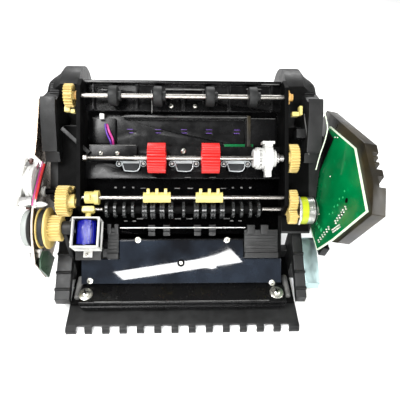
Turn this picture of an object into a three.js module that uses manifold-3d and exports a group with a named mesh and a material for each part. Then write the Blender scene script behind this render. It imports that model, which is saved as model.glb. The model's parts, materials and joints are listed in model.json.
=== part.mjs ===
// Bill validator: the note transport of a cash machine, on its base tray.
// Frame: millimetres, +X to the right, +Y to the back, +Z up. The origin is on the underside of the tray.
// The shafts and guides lie on a deck that climbs at 45 degrees. Inside the deck group, X stays across the
// machine, Y runs up the slope and Z stands out of it, so a shaft is placed by [up the slope, out of it].
import * as THREE from "three";
import { mergeVertices } from "three/addons/utils/BufferGeometryUtils.js";
import Module from "manifold-3d";

const wasm = await Module();
wasm.setup();

// ---- driving dimensions -------------------------------------------------------------------------------
const GAP = 0.3;
const DECK_ANGLE = Math.PI / 4;
const WALL_IN = 93.5;
const WALL_OUT = 97;
const INSIDE = WALL_IN - GAP;

// Gears share one module, so that any two of them can mesh.
const MODULE = 0.9;
const PRESSURE_ANGLE = (20 * Math.PI) / 180;
const BACKLASH = 0.14;
const ADDENDUM = 0.85 * MODULE;
const DEDENDUM = 1.2 * MODULE;
const TEETH = {
  leftPinion: 10,
  driveGear: 30,
  compound: 25,
  feedGear: 28,
  topGear: 22,
  rightIdler: 20,
  rightPinion: 14,
  ribGear: 12,
};
const pitchRadius = (teeth) => (teeth * MODULE) / 2;
const centreDistance = (a, b) => pitchRadius(a) + pitchRadius(b);

// Axes on the deck, as [up the slope, out of the slope].
const SHAFT_LEVEL = 67;
const FEED = [106, SHAFT_LEVEL];
const GATE = [69.5, SHAFT_LEVEL];
const TOP = [163, SHAFT_LEVEL];
const IDLER = [67, SHAFT_LEVEL];
const RIGHT_PINION = [IDLER[0] - centreDistance(TEETH.rightIdler, TEETH.rightPinion), SHAFT_LEVEL];
const RIB_STEP = 8.5;
const RIB_DROP = Math.sqrt(centreDistance(TEETH.rightIdler, TEETH.ribGear) ** 2 - RIB_STEP ** 2);
const RIB = [IDLER[0] - RIB_STEP, SHAFT_LEVEL - RIB_DROP];
const DRIVE = [66.25, SHAFT_LEVEL];
const COMPOUND = [DRIVE[0] - centreDistance(TEETH.driveGear, TEETH.compound), SHAFT_LEVEL];
// The motor's pinion hides behind the drive gear; its flat can sits off its own shaft.
const PINION_ANGLE = Math.PI / 3;
const LEFT_MOTOR = [
  DRIVE[0] + centreDistance(TEETH.driveGear, TEETH.leftPinion) * Math.cos(PINION_ANGLE),
  SHAFT_LEVEL - centreDistance(TEETH.driveGear, TEETH.leftPinion) * Math.sin(PINION_ANGLE),
];
const LEFT_CAN = [82, 60];
const TRANSFER = [COMPOUND[0], 20];
const RIGHT_MOTOR = [57.2, 59];

const FEED_RADIUS = 2.2;
const GATE_RADIUS = 1.75;
const RIB_SHAFT_RADIUS = 2;
const TOP_RADIUS = 2.2;

// Levels of the guide faces, out of the slope.
const GUIDE_FACE = 52.5;
const RIB_GUIDE_FACE = 44.6;
const PANEL_FACE = 42;
const COVER_FACE = 47.2;
const COVER_THICK = 2.5;

const SIDE_PLATE_X = -134.6;
const SIDE_PLATE_THICK = 1.2;
const BELT_X = [-128.9, -123.9];
const PULLEY_RADIUS = 16.6;
const TRANSFER_RADIUS = 8;
const BELT_THICK = 1.4;

const BLACK = [0x151516, 0.5, 0];
const SATIN_BLACK = [0x232324, 0.6, 0];
const GLOSS_BLACK = [0x0b0c10, 0.08, 0];
const CREAM = [0xe3c878, 0.5, 0];
const PALE_CREAM = [0xf0dc82, 0.5, 0];
const RED = [0xe82823, 0.55, 0];
const STEEL = [0xc8c3be, 0.25, 1];
const ZINC = [0xb9d2d2, 0.35, 1];
const WHITE = [0xebebe6, 0.5, 0];
const GREEN = [0x00693a, 0.25, 0];
const BLUE = [0x1414be, 0.3, 0];
const GREY = [0xbec3be, 0.45, 0];
const CLEAR = [0xaab4b4, 0.08, 0];
const LEAD = [0xc83c8c, 0.5, 0];

// ---- shape helpers ------------------------------------------------------------------------------------
function toSolid(geometry) {
  const bare = geometry.index ? geometry.toNonIndexed() : geometry.clone();
  bare.deleteAttribute("normal");
  bare.deleteAttribute("uv");
  const merged = mergeVertices(bare, 1e-4);
  return new wasm.Manifold(
    new wasm.Mesh({
      numProp: 3,
      vertProperties: merged.attributes.position.array,
      triVerts: new Uint32Array(merged.index.array),
    }),
  );
}

function toGeometry(solid) {
  const mesh = solid.getMesh();
  const geometry = new THREE.BufferGeometry();
  geometry.setAttribute("position", new THREE.BufferAttribute(mesh.vertProperties, 3));
  geometry.setIndex(new THREE.BufferAttribute(mesh.triVerts, 1));
  geometry.computeVertexNormals();
  return geometry;
}

function join(...geometries) {
  return toGeometry(geometries.map(toSolid).reduce((whole, piece) => whole.add(piece)));
}

function cut(geometry, ...tools) {
  return toGeometry(tools.map(toSolid).reduce((whole, tool) => whole.subtract(tool), toSolid(geometry)));
}

function box(x0, x1, y0, y1, z0, z1) {
  const block = new THREE.BoxGeometry(x1 - x0, y1 - y0, z1 - z0);
  return block.translate((x0 + x1) / 2, (y0 + y1) / 2, (z0 + z1) / 2);
}

// Turns a shape drawn in the plane of Y and Z, and extruded along its own Z, to run along X.
function alongX(geometry) {
  const turn = new THREE.Matrix4().makeBasis(
    new THREE.Vector3(0, 1, 0),
    new THREE.Vector3(0, 0, 1),
    new THREE.Vector3(1, 0, 0),
  );
  return geometry.applyMatrix4(turn);
}

function extrudeX(shape, x0, x1) {
  const flat = new THREE.ExtrudeGeometry(shape, { depth: x1 - x0, bevelEnabled: false, curveSegments: 10 });
  return alongX(flat).translate(x0, 0, 0);
}

function outline(points) {
  return new THREE.Shape(points.map(([y, z]) => new THREE.Vector2(y, z)));
}

function circleOutline(radius, sides = 20) {
  const points = [];
  for (let i = 0; i < sides; i += 1) {
    const angle = (2 * Math.PI * i) / sides;
    points.push([radius * Math.cos(angle), radius * Math.sin(angle)]);
  }
  return outline(points);
}

function rod(radius, x0, x1, [y, z], sides = 20) {
  return extrudeX(circleOutline(radius, sides), x0, x1).translate(0, y, z);
}

// A solid of revolution about X, from steps of [x, radius] that run from low x to high x, round a bore.
function turned(steps, [y, z], sides = 24, bore = 0) {
  const first = steps[0];
  const last = steps[steps.length - 1];
  const section = [[first[0], bore], ...steps, [last[0], bore]];
  if (bore > 0) section.push(section[0]);
  const profile = section.map(([x, radius]) => new THREE.Vector2(radius, x));
  const lathe = new THREE.LatheGeometry(profile, sides);
  const turn = new THREE.Matrix4().makeBasis(
    new THREE.Vector3(0, 1, 0),
    new THREE.Vector3(1, 0, 0),
    new THREE.Vector3(0, 0, -1),
  );
  return lathe.applyMatrix4(turn).translate(0, y, z);
}

function bored(geometry, radius, x0, x1, centre, sides = 14) {
  return cut(geometry, rod(radius, x0 - 1, x1 + 1, centre, sides));
}

// ---- gears --------------------------------------------------------------------------------------------
const involute = (angle) => Math.tan(angle) - angle;

function gearOutline(teeth, toothAngle) {
  const pitch = pitchRadius(teeth);
  const base = pitch * Math.cos(PRESSURE_ANGLE);
  const root = pitch - DEDENDUM;
  const halfAtPitch = Math.PI / (2 * teeth) - BACKLASH / (2 * pitch);
  const halfAngle = (radius) => {
    const rolled = radius > base ? Math.acos(base / radius) : 0;
    return halfAtPitch + involute(PRESSURE_ANGLE) - involute(rolled);
  };
  const flank = [root, pitch, pitch + ADDENDUM];
  const points = [];
  for (let tooth = 0; tooth < teeth; tooth += 1) {
    const centre = toothAngle + (2 * Math.PI * tooth) / teeth;
    const rising = flank.map((radius) => [radius, centre - halfAngle(radius)]);
    const falling = [...flank].reverse().map((radius) => [radius, centre + halfAngle(radius)]);
    for (const [radius, angle] of [...rising, ...falling]) {
      points.push([radius * Math.cos(angle), radius * Math.sin(angle)]);
    }
  }
  return outline(points);
}

function gear(teeth, toothAngle, x0, x1, [y, z]) {
  return extrudeX(gearOutline(teeth, toothAngle), x0, x1).translate(0, y, z);
}

const direction = (from, to) => Math.atan2(to[1] - from[1], to[0] - from[0]);

// The angle of one tooth of a gear that meshes, at rest, with a gear whose own tooth is at toothAngle.
function meshedTooth(toothAngle, teeth, otherTeeth, towardsOther) {
  const carried = ((toothAngle - towardsOther) * teeth) / otherTeeth;
  return towardsOther + Math.PI - carried - Math.PI / otherTeeth;
}

// ---- scene helpers ------------------------------------------------------------------------------------
const machine = new THREE.Group();
const deck = new THREE.Group();
deck.rotation.x = DECK_ANGLE;
machine.add(deck);

function put(group, name, geometry, [color, roughness, metalness]) {
  const mesh = new THREE.Mesh(geometry, new THREE.MeshStandardMaterial({ color, roughness, metalness }));
  mesh.name = name;
  group.add(mesh);
}

// ---- base, walls and cheeks ---------------------------------------------------------------------------
const TRAY_BACK = 118;
const TRAY_FRONT = -43.5;

function baseTray() {
  const floor = box(-INSIDE, INSIDE, TRAY_FRONT, TRAY_BACK, 0, 3);
  const back = box(-INSIDE, INSIDE, TRAY_BACK - 3, TRAY_BACK, 0, 104);
  const sill = box(-INSIDE, INSIDE, 20, 24, 0, 40);
  return join(floor, back, sill);
}

const WALL_OUTLINE = [
  [TRAY_FRONT, 0],
  [TRAY_BACK, 0],
  [TRAY_BACK, 122],
  [100, 150],
  [82, 172],
  [70, 172],
  [20, 122],
  [-7.5, 95],
  [-3.4, 77.5],
  [4, 69],
  [-16, 43],
  [TRAY_FRONT, 15],
];

function toWorld([up, out]) {
  const half = Math.SQRT1_2;
  return [half * (up - out), half * (up + out)];
}

function sideFrame(side) {
  const [x0, x1] = side < 0 ? [-WALL_OUT, -WALL_IN] : [WALL_IN, WALL_OUT];
  const holes = [
    [FEED, FEED_RADIUS],
    [GATE, GATE_RADIUS],
    [RIB, RIB_SHAFT_RADIUS],
    [TOP, TOP_RADIUS],
  ];
  const tools = holes.map(([axis, radius]) => rod(radius + GAP, x0 - 1, x1 + 1, toWorld(axis), 14));
  return cut(extrudeX(outline(WALL_OUTLINE), x0, x1), ...tools);
}

const CHEEK_CENTRE = [98, 137];
const CHEEK_RADIUS = 35;
const CHEEK_IN = WALL_OUT + GAP;
const CHEEK_OUT = 130.5;
const BAND_RADIUS = 21;
const RECESS_RADIUS = 12;
const ARC_STEPS = 18;

// The round back and top of a cheek, as points about the cheek's centre.
function roundBack(radius) {
  const [y, z] = CHEEK_CENTRE;
  const points = [];
  for (let i = 0; i <= ARC_STEPS; i += 1) {
    const angle = -Math.PI / 2 + ((Math.PI * 7) / 6) * (i / ARC_STEPS);
    points.push([y + radius * Math.cos(angle), z + radius * Math.sin(angle)]);
  }
  return points;
}

// A D with a straight front between two points.
function bandOutline(radius, frontLow, frontHigh) {
  const [y, z] = CHEEK_CENTRE;
  return [frontLow, [y - 6, z - radius], ...roundBack(radius), frontHigh];
}

// The same D with its front in proportion to its radius.
function domeOutline(radius) {
  const [y, z] = CHEEK_CENTRE;
  return bandOutline(radius, [y - 0.23 * radius, z - 0.77 * radius], [y - 0.4 * radius, z + 0.657 * radius]);
}

// A closed skin through outlines that have as many points as each other, at stations from low x to high x.
function loftX(stations) {
  const count = stations[0].points.length;
  const positions = stations.flatMap(({ x, points }) => points.flatMap(([y, z]) => [x, y, z]));
  const faces = [];
  for (let k = 0; k + 1 < stations.length; k += 1) {
    for (let i = 0; i < count; i += 1) {
      const next = (i + 1) % count;
      const [a, b, c, d] = [k * count + i, k * count + next, (k + 1) * count + next, (k + 1) * count + i];
      faces.push(a, b, c, a, c, d);
    }
  }
  const cap = (station) =>
    THREE.ShapeUtils.triangulateShape(
      station.points.map(([y, z]) => new THREE.Vector2(y, z)),
      [],
    );
  const last = (stations.length - 1) * count;
  for (const [a, b, c] of cap(stations[0])) faces.push(a, c, b);
  for (const [a, b, c] of cap(stations[stations.length - 1])) faces.push(last + a, last + b, last + c);
  const geometry = new THREE.BufferGeometry();
  geometry.setAttribute("position", new THREE.Float32BufferAttribute(positions, 3));
  geometry.setIndex(faces);
  return geometry;
}

// Floor plates of the deck between a wall and the outside, as [x, up the slope] outlines.
const WING_LEVEL = [40, 43];
const LEFT_WING = [
  [-CHEEK_IN, 26],
  [-CHEEK_IN, 140],
  [-129, 140],
  [-129.5, 68],
  [-122.4, 62],
  [-122.4, 26],
];
const RIGHT_WING = [
  [CHEEK_IN, 34],
  [125.5, 34],
  [130.5, 60],
  [140, 130],
  [129, 140],
  [CHEEK_IN, 140],
];

function wing(points) {
  const shape = new THREE.Shape(points.map(([x, up]) => new THREE.Vector2(x, up)));
  const depth = WING_LEVEL[1] - WING_LEVEL[0];
  const plate = new THREE.ExtrudeGeometry(shape, { depth, bevelEnabled: false });
  return plate.translate(0, 0, WING_LEVEL[0]).rotateX(DECK_ANGLE);
}

function cheek(side) {
  const mirror = (x0, x1) => (side < 0 ? [-x1, -x0] : [x0, x1]);
  const steps = [
    [CHEEK_IN, CHEEK_RADIUS],
    [114.2, CHEEK_RADIUS],
    [120.3, 0.8 * CHEEK_RADIUS],
    [127.5, 0.67 * CHEEK_RADIUS],
    [CHEEK_OUT, BAND_RADIUS],
  ];
  const stations = steps.map(([x, radius]) => ({ x: side * x, points: domeOutline(radius) }));
  if (side < 0) stations.reverse();
  const band = extrudeX(outline(bandOutline(BAND_RADIUS, [36, 110], [62, 160])), ...mirror(117, CHEEK_OUT));
  const hollow = outline(bandOutline(RECESS_RADIUS, [54, 118], [68, 152]));
  const recess = extrudeX(hollow, ...mirror(CHEEK_OUT - 4, CHEEK_OUT + 1));
  return cut(join(loftX(stations), band, wing(side < 0 ? LEFT_WING : RIGHT_WING)), recess);
}

// ---- lower front: housing, cover, comb, rails -----------------------------------------------------------
const LEDGE_TOP = 21;
const HOUSING_FLOOR = 12;
const LEDGE_HALF = 98.5;

function frontHousing() {
  const ledge = extrudeX(
    outline([
      [-64.5, HOUSING_FLOOR],
      [-44, HOUSING_FLOOR],
      [-44, LEDGE_TOP],
      [-62, LEDGE_TOP],
      [-63, LEDGE_TOP - 1],
      [-63, 16],
      [-64.5, 16],
    ]),
    -LEDGE_HALF,
    LEDGE_HALF,
  );
  const slope = COVER_FACE - COVER_THICK - GAP;
  const rise = slope * Math.SQRT2;
  const body = extrudeX(
    outline([
      [-46, HOUSING_FLOOR],
      [-4, HOUSING_FLOOR],
      [-4, rise - 18],
      [-11, rise - 11],
      [LEDGE_TOP - rise, LEDGE_TOP],
      [-46, LEDGE_TOP],
    ]),
    -INSIDE,
    INSIDE,
  );
  const hollow = extrudeX(
    outline([
      [-41, HOUSING_FLOOR + 3],
      [-1, HOUSING_FLOOR + 3],
      [-1, rise - 25],
      [-11, rise - 16],
      [-34, rise - 39],
    ]),
    3 - INSIDE,
    INSIDE - 3,
  );
  const cornerCut = (side) =>
    box(-5, 5, -5, 5, -20, 20).rotateZ(Math.PI / 4).translate(side * (LEDGE_HALF + 2.5), -67, HOUSING_FLOOR);
  return cut(join(ledge, body), hollow, cornerCut(-1), cornerCut(1));
}

const COVER_LOW = -14;
const COVER_STEP = 9.8;
const COVER_HIGH = 28;

function coverPlate() {
  const bottom = COVER_FACE - COVER_THICK;
  const wide = box(-LEDGE_HALF, 96, COVER_LOW, COVER_STEP, bottom, COVER_FACE);
  const narrow = box(-62, 58.5, COVER_STEP - 1, COVER_HIGH, bottom, COVER_FACE);
  return join(wide, narrow);
}

const COMB_HALF = 110;
const COMB_TOP = 7;
const COMB_TEETH = 14;
const TOOTH_WIDTH = 6.6;
const END_TOOTH_WIDTH = 9.5;
const COMB_NOTCH = -77.6;

function combGuide() {
  const plate = extrudeX(
    outline([
      [COMB_NOTCH, COMB_TOP - 3],
      [-46, COMB_TOP - 3],
      [-46, COMB_TOP - 2.6],
      [-44.5, COMB_TOP - 2.6],
      [-44.5, COMB_TOP],
      [COMB_NOTCH, COMB_TOP],
    ]),
    -COMB_HALF,
    COMB_HALF,
  );
  const tongue = box(-90, 90, -46, -30, 3 + GAP, COMB_TOP);
  const pieces = [plate, tongue];
  const pitch = (2 * COMB_HALF - END_TOOTH_WIDTH) / (COMB_TEETH - 1);
  for (let i = 0; i < COMB_TEETH; i += 1) {
    const isEnd = i === 0 || i === COMB_TEETH - 1;
    const half = (isEnd ? END_TOOTH_WIDTH : TOOTH_WIDTH) / 2;
    const x = -COMB_HALF + END_TOOTH_WIDTH / 2 + i * pitch;
    const hook = outline([
      [COMB_NOTCH + 1, COMB_TOP - 3],
      [COMB_NOTCH + 1, COMB_TOP],
      [-80.6, COMB_TOP - 0.4],
      [-82.6, COMB_TOP - 2.2],
      [-83.2, 3.4],
      [-83.2, 0],
      [-80.6, 0],
      [-80.6, 3.2],
    ]);
    pieces.push(extrudeX(hook, x - half, x + half));
  }
  return join(...pieces);
}

const RAIL_OUTLINE = [
  [-58, 12],
  [-22, 30],
  [-22, 0],
  [8, 0],
  [8, 52],
  [2, 52],
  [-58, 20.5],
];

function leftRail() {
  const [y, z] = toWorld(COMPOUND);
  const rail = extrudeX(outline(RAIL_OUTLINE), -122, -108);
  const bridge = box(-109, -CHEEK_IN, -4, 4, 4, 24);
  const post = box(-110.1, -106.6, y - 5, y + 5, 34, z);
  const boss = rod(6.4, -110.1, -101.5, [y, z], 20);
  return bored(join(rail, bridge, post, boss), 3.3, -113, -102.3, [y, z], 20);
}

function rightRail() {
  const rail = extrudeX(outline(RAIL_OUTLINE), 109, 119);
  const bridge = box(CHEEK_IN, 110, -4, 4, 4, 24);
  return join(rail, bridge);
}

// A ribbed block that guides the cassette, on one side of the cover.
function guideBlock(x0, x1, up0, up1, stepped) {
  const foot = COVER_FACE - COVER_THICK + GAP;
  const block = box(x0, x1, up0, up1, foot, 49);
  const step = box(x0, x1, up0, stepped, foot, 51.5);
  const ribs = [];
  for (let up = stepped + 2.5; up < up1 - 1.5; up += 3.2) {
    ribs.push(box(x0 + 1, x1 - 1, up, up + 1.2, 48, 50.2));
  }
  return join(block, step, ...ribs);
}

// The left block also carries the pedestal that the solenoid's foot stands on.
function leftGuideBlock() {
  const foot = COVER_FACE - COVER_THICK + GAP;
  const pedestal = box(-101, -77.5, 10.8, 21.6, foot, 59.4);
  const bridge = box(-78, -72, 12, 20, foot, 48);
  return join(guideBlock(-73, -62.6, COVER_STEP + 1, 40, 16), pedestal, bridge);
}

function washerScrew() {
  const profile = [
    [0, 0],
    [6.6, 0],
    [6.6, 1.1],
    [4, 1.1],
    [4, 3],
    [2.6, 4],
    [0, 4],
  ].map(([radius, height]) => new THREE.Vector2(radius, height));
  return new THREE.LatheGeometry(profile, 16).rotateX(Math.PI / 2);
}

// ---- deck guides ----------------------------------------------------------------------------------------
function topGuide() {
  const plate = box(-INSIDE, INSIDE, 152, 180, 51, 54);
  const lip = box(-INSIDE, INSIDE, 177, 180, 51, 60);
  const pieces = [plate, lip];
  for (const x of [-85, -44, 0, 44, 85]) pieces.push(box(x - 1.2, x + 1.2, 153, 179, 53, 57.5));
  return join(...pieces);
}

function sensorPanel() {
  const plate = box(-INSIDE, INSIDE, 119, 158, PANEL_FACE - 3, PANEL_FACE);
  const hood = box(-58, 62, 146.5, 149.5, PANEL_FACE - 1, PANEL_FACE + 7);
  const rightRib = box(60, 64, 119, 149.5, PANEL_FACE - 1, PANEL_FACE + 7);
  const windows = [-50, -24, 0, 25, 52].map((x) =>
    box(x - 3.5, x + 3.5, 132, 135, PANEL_FACE - 1.6, PANEL_FACE + 1),
  );
  return cut(join(plate, hood, rightRib), ...windows);
}

const LENS_X = [-50, 0.5, 50.5];
const LENS_UP = 99.7;

// The guide behind the feed rollers drops to the lower guide behind the rib roller.
function guidePlate() {
  const upper = box(-INSIDE, INSIDE, 88, 118.6, GUIDE_FACE - 3, GUIDE_FACE);
  const lower = box(-INSIDE, INSIDE, 34, 90.5, RIB_GUIDE_FACE - 3, RIB_GUIDE_FACE);
  const riser = box(-INSIDE, INSIDE, 88, 90.5, RIB_GUIDE_FACE - 3, GUIDE_FACE);
  const pockets = LENS_X.map((x) =>
    box(x - 9.5, x + 9.5, LENS_UP - 4.5, LENS_UP + 4.5, GUIDE_FACE - 1.5, GUIDE_FACE + 1),
  );
  return cut(join(upper, lower, riser), ...pockets);
}

function lens(x) {
  const face = new THREE.Shape();
  const [halfTop, halfBottom, half] = [9, 6.5, 4];
  face.moveTo(-halfBottom, -half);
  face.lineTo(halfBottom, -half);
  face.absarc(halfTop - 1.5, 0, half, -Math.PI / 3, Math.PI / 2, false);
  face.lineTo(-halfTop + 1.5, half);
  face.absarc(-halfTop + 1.5, 0, half, Math.PI / 2, (Math.PI * 4) / 3, false);
  face.closePath();
  const options = { depth: 2, bevelEnabled: false, curveSegments: 4 };
  const glass = new THREE.ExtrudeGeometry(face, options);
  return glass.scale(0.8, 1, 1).translate(x, LENS_UP, GUIDE_FACE - 1.5 + GAP);
}

function screwBracket() {
  const face = box(-89, -44, 104, 119, 56, 57.4);
  const foot = box(-89, -44, 117.6, 119, GUIDE_FACE + GAP, 57.4);
  return join(face, foot);
}

// ---- shafts and rollers -----------------------------------------------------------------------------------
function feedShaft() {
  return turned(
    [
      [-92, 3.2],
      [-88.6, 3.2],
      [-88.6, 1.7],
      [-46, 1.7],
      [-46, FEED_RADIUS],
      [107, FEED_RADIUS],
    ],
    FEED,
    16,
  );
}

// A soft roller with straight grooves along its width.
function groovedRoller(x0, x1, radius, bore, centre, grooves) {
  const points = [];
  const stepAngle = (2 * Math.PI) / grooves;
  for (let i = 0; i < grooves; i += 1) {
    const centreAngle = i * stepAngle;
    for (const [part, r] of [[-0.5, radius - 1.3], [-0.28, radius], [0.28, radius], [0.5, radius - 1.3]]) {
      if (part === 0.5) continue;
      const angle = centreAngle + part * stepAngle;
      points.push([r * Math.cos(angle), r * Math.sin(angle)]);
    }
  }
  const tyre = extrudeX(outline(points), x0, x1).translate(0, ...centre);
  return bored(tyre, bore + GAP, x0, x1, centre, 16);
}

function ring(steps, bore, centre, sides = 20) {
  return turned(steps, centre, sides, bore);
}

function feedClutch() {
  return ring(
    [
      [64.5, 8.4],
      [67, 8.4],
      [67, 10.2],
      [69.5, 10.2],
      [69.5, 7],
      [72, 7],
      [72, 9.8],
      [83, 9.8],
      [83, 8],
      [85.5, 8],
    ],
    FEED_RADIUS + GAP,
    FEED,
  );
}

function clutchStrap() {
  const [up, out] = FEED;
  const band = rod(12.2, 74.4, 81.8, FEED, 24);
  const upperArm = box(74.4, 81.8, up + 10, up + 14.4, out - 4, out + 8);
  const tee = box(72.4, 83.8, up + 12.8, up + 15.2, out - 2, out + 8);
  const lowerArm = box(75.4, 80.8, up - 17.5, up - 10, out - 3, out + 6);
  return bored(join(band, upperArm, tee, lowerArm), 10.3, 74.4, 81.8, FEED, 24);
}

function feedGear() {
  const teeth = gear(TEETH.feedGear, 0, 97.6, 106, FEED);
  const web = rod(6, 97.3, 106.6, FEED, 20);
  return bored(join(teeth, web), FEED_RADIUS + GAP, 97, 107, FEED, 16);
}

const RIB_NARROW = [-72, -64.2, -55.6, -47.6, 0, 47, 55, 63.4, 71.4];
const RIB_WIDE = [-36.4, -28.8, -20, -11.9, 12, 19.4, 27.8, 36.4];
const RIB_NARROW_RADIUS = 8.2;
const RIB_WIDE_RADIUS = 9.5;
const RIB_SLEEVE_RADIUS = 4.4;

// One moulded sleeve with a disc for each slot of the guide.
function ribRoller() {
  const discs = [
    ...RIB_NARROW.map((x) => [x, 1.5, RIB_NARROW_RADIUS]),
    ...RIB_WIDE.map((x) => [x, 2.4, RIB_WIDE_RADIUS]),
  ].sort((a, b) => a[0] - b[0]);
  const steps = [[-76, RIB_SLEEVE_RADIUS]];
  for (const [x, half, radius] of discs) {
    steps.push([x - half, RIB_SLEEVE_RADIUS], [x - half, radius]);
    steps.push([x + half, radius], [x + half, RIB_SLEEVE_RADIUS]);
  }
  steps.push([75, RIB_SLEEVE_RADIUS]);
  return ring(steps, RIB_SHAFT_RADIUS + GAP, RIB, 16);
}

const FINGER_HALF = 12.5;
const FINGER_X = [-24.4, 23.8];

function gateFingers(x) {
  const [up, out] = GATE;
  const corner = 4.65 * Math.tan(Math.PI / 8);
  const side = 4.65;
  const block = extrudeX(
    outline([
      [-side, -corner],
      [-corner, -side],
      [corner, -side],
      [side, -corner],
      [side, corner],
      [corner, side],
      [-corner, side],
      [-side, corner],
    ]),
    x - FINGER_HALF,
    x + FINGER_HALF,
  ).translate(0, up, out);
  const fingerOutline = outline([
    [3, -2],
    [6.8, 0.2],
    [8.2, 3.4],
    [6.6, 4.4],
    [3, 3.6],
  ]);
  const fingers = [-8, 0, 8].map((dx) =>
    extrudeX(fingerOutline, x + dx - 1.3, x + dx + 1.3).translate(0, up, out),
  );
  return bored(join(block, ...fingers), GATE_RADIUS + GAP, x - FINGER_HALF, x + FINGER_HALF, GATE, 16);
}

const CAM_X = [-90, -77.5];

function gateCam() {
  const [up, out] = GATE;
  const hub = rod(5.6, ...CAM_X, GATE, 24);
  const collar = rod(6.6, -81.5, CAM_X[1], GATE, 24);
  const arm = box(-88.5, -84, up - 2.4, up + 2.4, out + 3, out + 10.5);
  return bored(join(hub, collar, arm), GATE_RADIUS + GAP, ...CAM_X, GATE, 16);
}

const TOP_ROLLER_X = { left_outer: -64.4, left_inner: -23.6, right_inner: 24.6, right_outer: 64.4 };

function topRoller(x) {
  const steps = [
    [x - 4.2, 8.6],
    [x - 3.6, 9.2],
    [x + 3.6, 9.2],
    [x + 4.2, 8.6],
  ];
  return ring(steps, TOP_RADIUS + GAP, TOP);
}

// ---- drive on the left ---------------------------------------------------------------------------------
const DRIVE_TOOTH = 0;
const COMPOUND_TOOTH = meshedTooth(DRIVE_TOOTH, TEETH.driveGear, TEETH.compound, direction(DRIVE, COMPOUND));
const LEFT_PINION_TOOTH = meshedTooth(
  DRIVE_TOOTH,
  TEETH.driveGear,
  TEETH.leftPinion,
  direction(DRIVE, LEFT_MOTOR),
);

function driveGear() {
  const teeth = gear(TEETH.driveGear, DRIVE_TOOTH, -114, -104, DRIVE);
  const hub = rod(6.4, -104.5, -98.8, DRIVE, 24);
  const journal = rod(3, -99, -CHEEK_IN, DRIVE, 16);
  return join(teeth, hub, journal);
}

// Teeth, flange, belt pulley and axle are one moulding on one axis.
function compoundGear() {
  const teeth = gear(TEETH.compound, COMPOUND_TOOTH, -122, -110.5, COMPOUND);
  const turnedPart = turned(
    [
      [-143, 3],
      [-129.9, 3],
      [-129.9, PULLEY_RADIUS - 4],
      [-129.5, PULLEY_RADIUS + 2],
      [BELT_X[0] + 0.1, PULLEY_RADIUS + 2],
      [BELT_X[0] + 0.1, PULLEY_RADIUS - BELT_THICK],
      [BELT_X[1], PULLEY_RADIUS - BELT_THICK],
      [BELT_X[1] + 0.2, PULLEY_RADIUS + 2],
      [-123.4, 19],
      [-121.5, 19],
      [-121.5, 8],
      [-110.6, 8],
      [-110.6, 3],
      [-102.6, 3],
    ],
    COMPOUND,
    24,
  );
  return join(teeth, turnedPart);
}

function handKnob() {
  return ring(
    [
      [-144.4, 12],
      [-144.4, 15.2],
      [-142.6, 17],
      [-138, 17],
      [-137.4, 16.4],
      [-135.8, 16.4],
      [-135.2, 15],
    ],
    3 + GAP,
    COMPOUND,
    28,
  );
}

function beltOutline(inner, outer) {
  const loop = (big, small) => {
    const tilt = Math.asin((big - small) / (COMPOUND[1] - TRANSFER[1]));
    const shape = new THREE.Path();
    shape.absarc(COMPOUND[0], COMPOUND[1], big, -tilt, Math.PI + tilt, false);
    shape.absarc(TRANSFER[0], TRANSFER[1], small, Math.PI + tilt, 2 * Math.PI - tilt, false);
    return shape.getPoints(9);
  };
  const shape = new THREE.Shape(loop(...outer));
  shape.holes.push(new THREE.Path(loop(...inner)));
  return shape;
}

function driveBelt() {
  const pulleyFace = PULLEY_RADIUS - BELT_THICK + GAP;
  const transferFace = TRANSFER_RADIUS + GAP;
  const loop = beltOutline([pulleyFace, transferFace], [pulleyFace + BELT_THICK, transferFace + BELT_THICK]);
  return extrudeX(loop, BELT_X[0] + 0.5, BELT_X[1] - 0.3);
}

function transferPulley() {
  return turned(
    [
      [BELT_X[0] - 1, TRANSFER_RADIUS + 1.8],
      [BELT_X[0] - 0.2, TRANSFER_RADIUS + 1.8],
      [BELT_X[0] - 0.2, TRANSFER_RADIUS],
      [BELT_X[1], TRANSFER_RADIUS],
      [BELT_X[1], TRANSFER_RADIUS + 1.8],
      [BELT_X[1] + 0.8, TRANSFER_RADIUS + 1.8],
      [BELT_X[1] + 0.8, 2.5],
      [-122.3, 2.5],
    ],
    TRANSFER,
    24,
  );
}

const CAN_RADIUS = 17.6;
const CAN_X = [-142.6, -135.2];
const MOTOR_BOSS_RADIUS = 5;
const MOTOR_BOSS_END = -131;
const COVER_STRAP_X = [-148, -145.4];

// A flat can with its shaft off centre, closed by a strap on the outside.
function leftMotor() {
  const can = turned(
    [
      [COVER_STRAP_X[1] - 0.4, 12],
      [CAN_X[0] + 0.4, 12],
      [CAN_X[0] + 0.4, CAN_RADIUS - 0.8],
      [CAN_X[0] + 1.2, CAN_RADIUS],
      [CAN_X[1], CAN_RADIUS],
    ],
    LEFT_CAN,
    32,
  );
  const boss = rod(MOTOR_BOSS_RADIUS, CAN_X[1] - 1, MOTOR_BOSS_END, LEFT_MOTOR, 24);
  const strap = extrudeX(
    outline([
      [106.6, 57],
      [61.3, 80],
      [60, 46],
      [93, 32],
    ]),
    ...COVER_STRAP_X,
  );
  return bored(join(can, boss, strap), 1.5, MOTOR_BOSS_END - 2, MOTOR_BOSS_END + 1, LEFT_MOTOR, 12);
}

function leftPinion() {
  const teeth = gear(TEETH.leftPinion, LEFT_PINION_TOOTH, -114, -104, LEFT_MOTOR);
  const axle = rod(1.2, MOTOR_BOSS_END - 1.5, -113, LEFT_MOTOR, 12);
  return join(teeth, axle);
}

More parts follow.
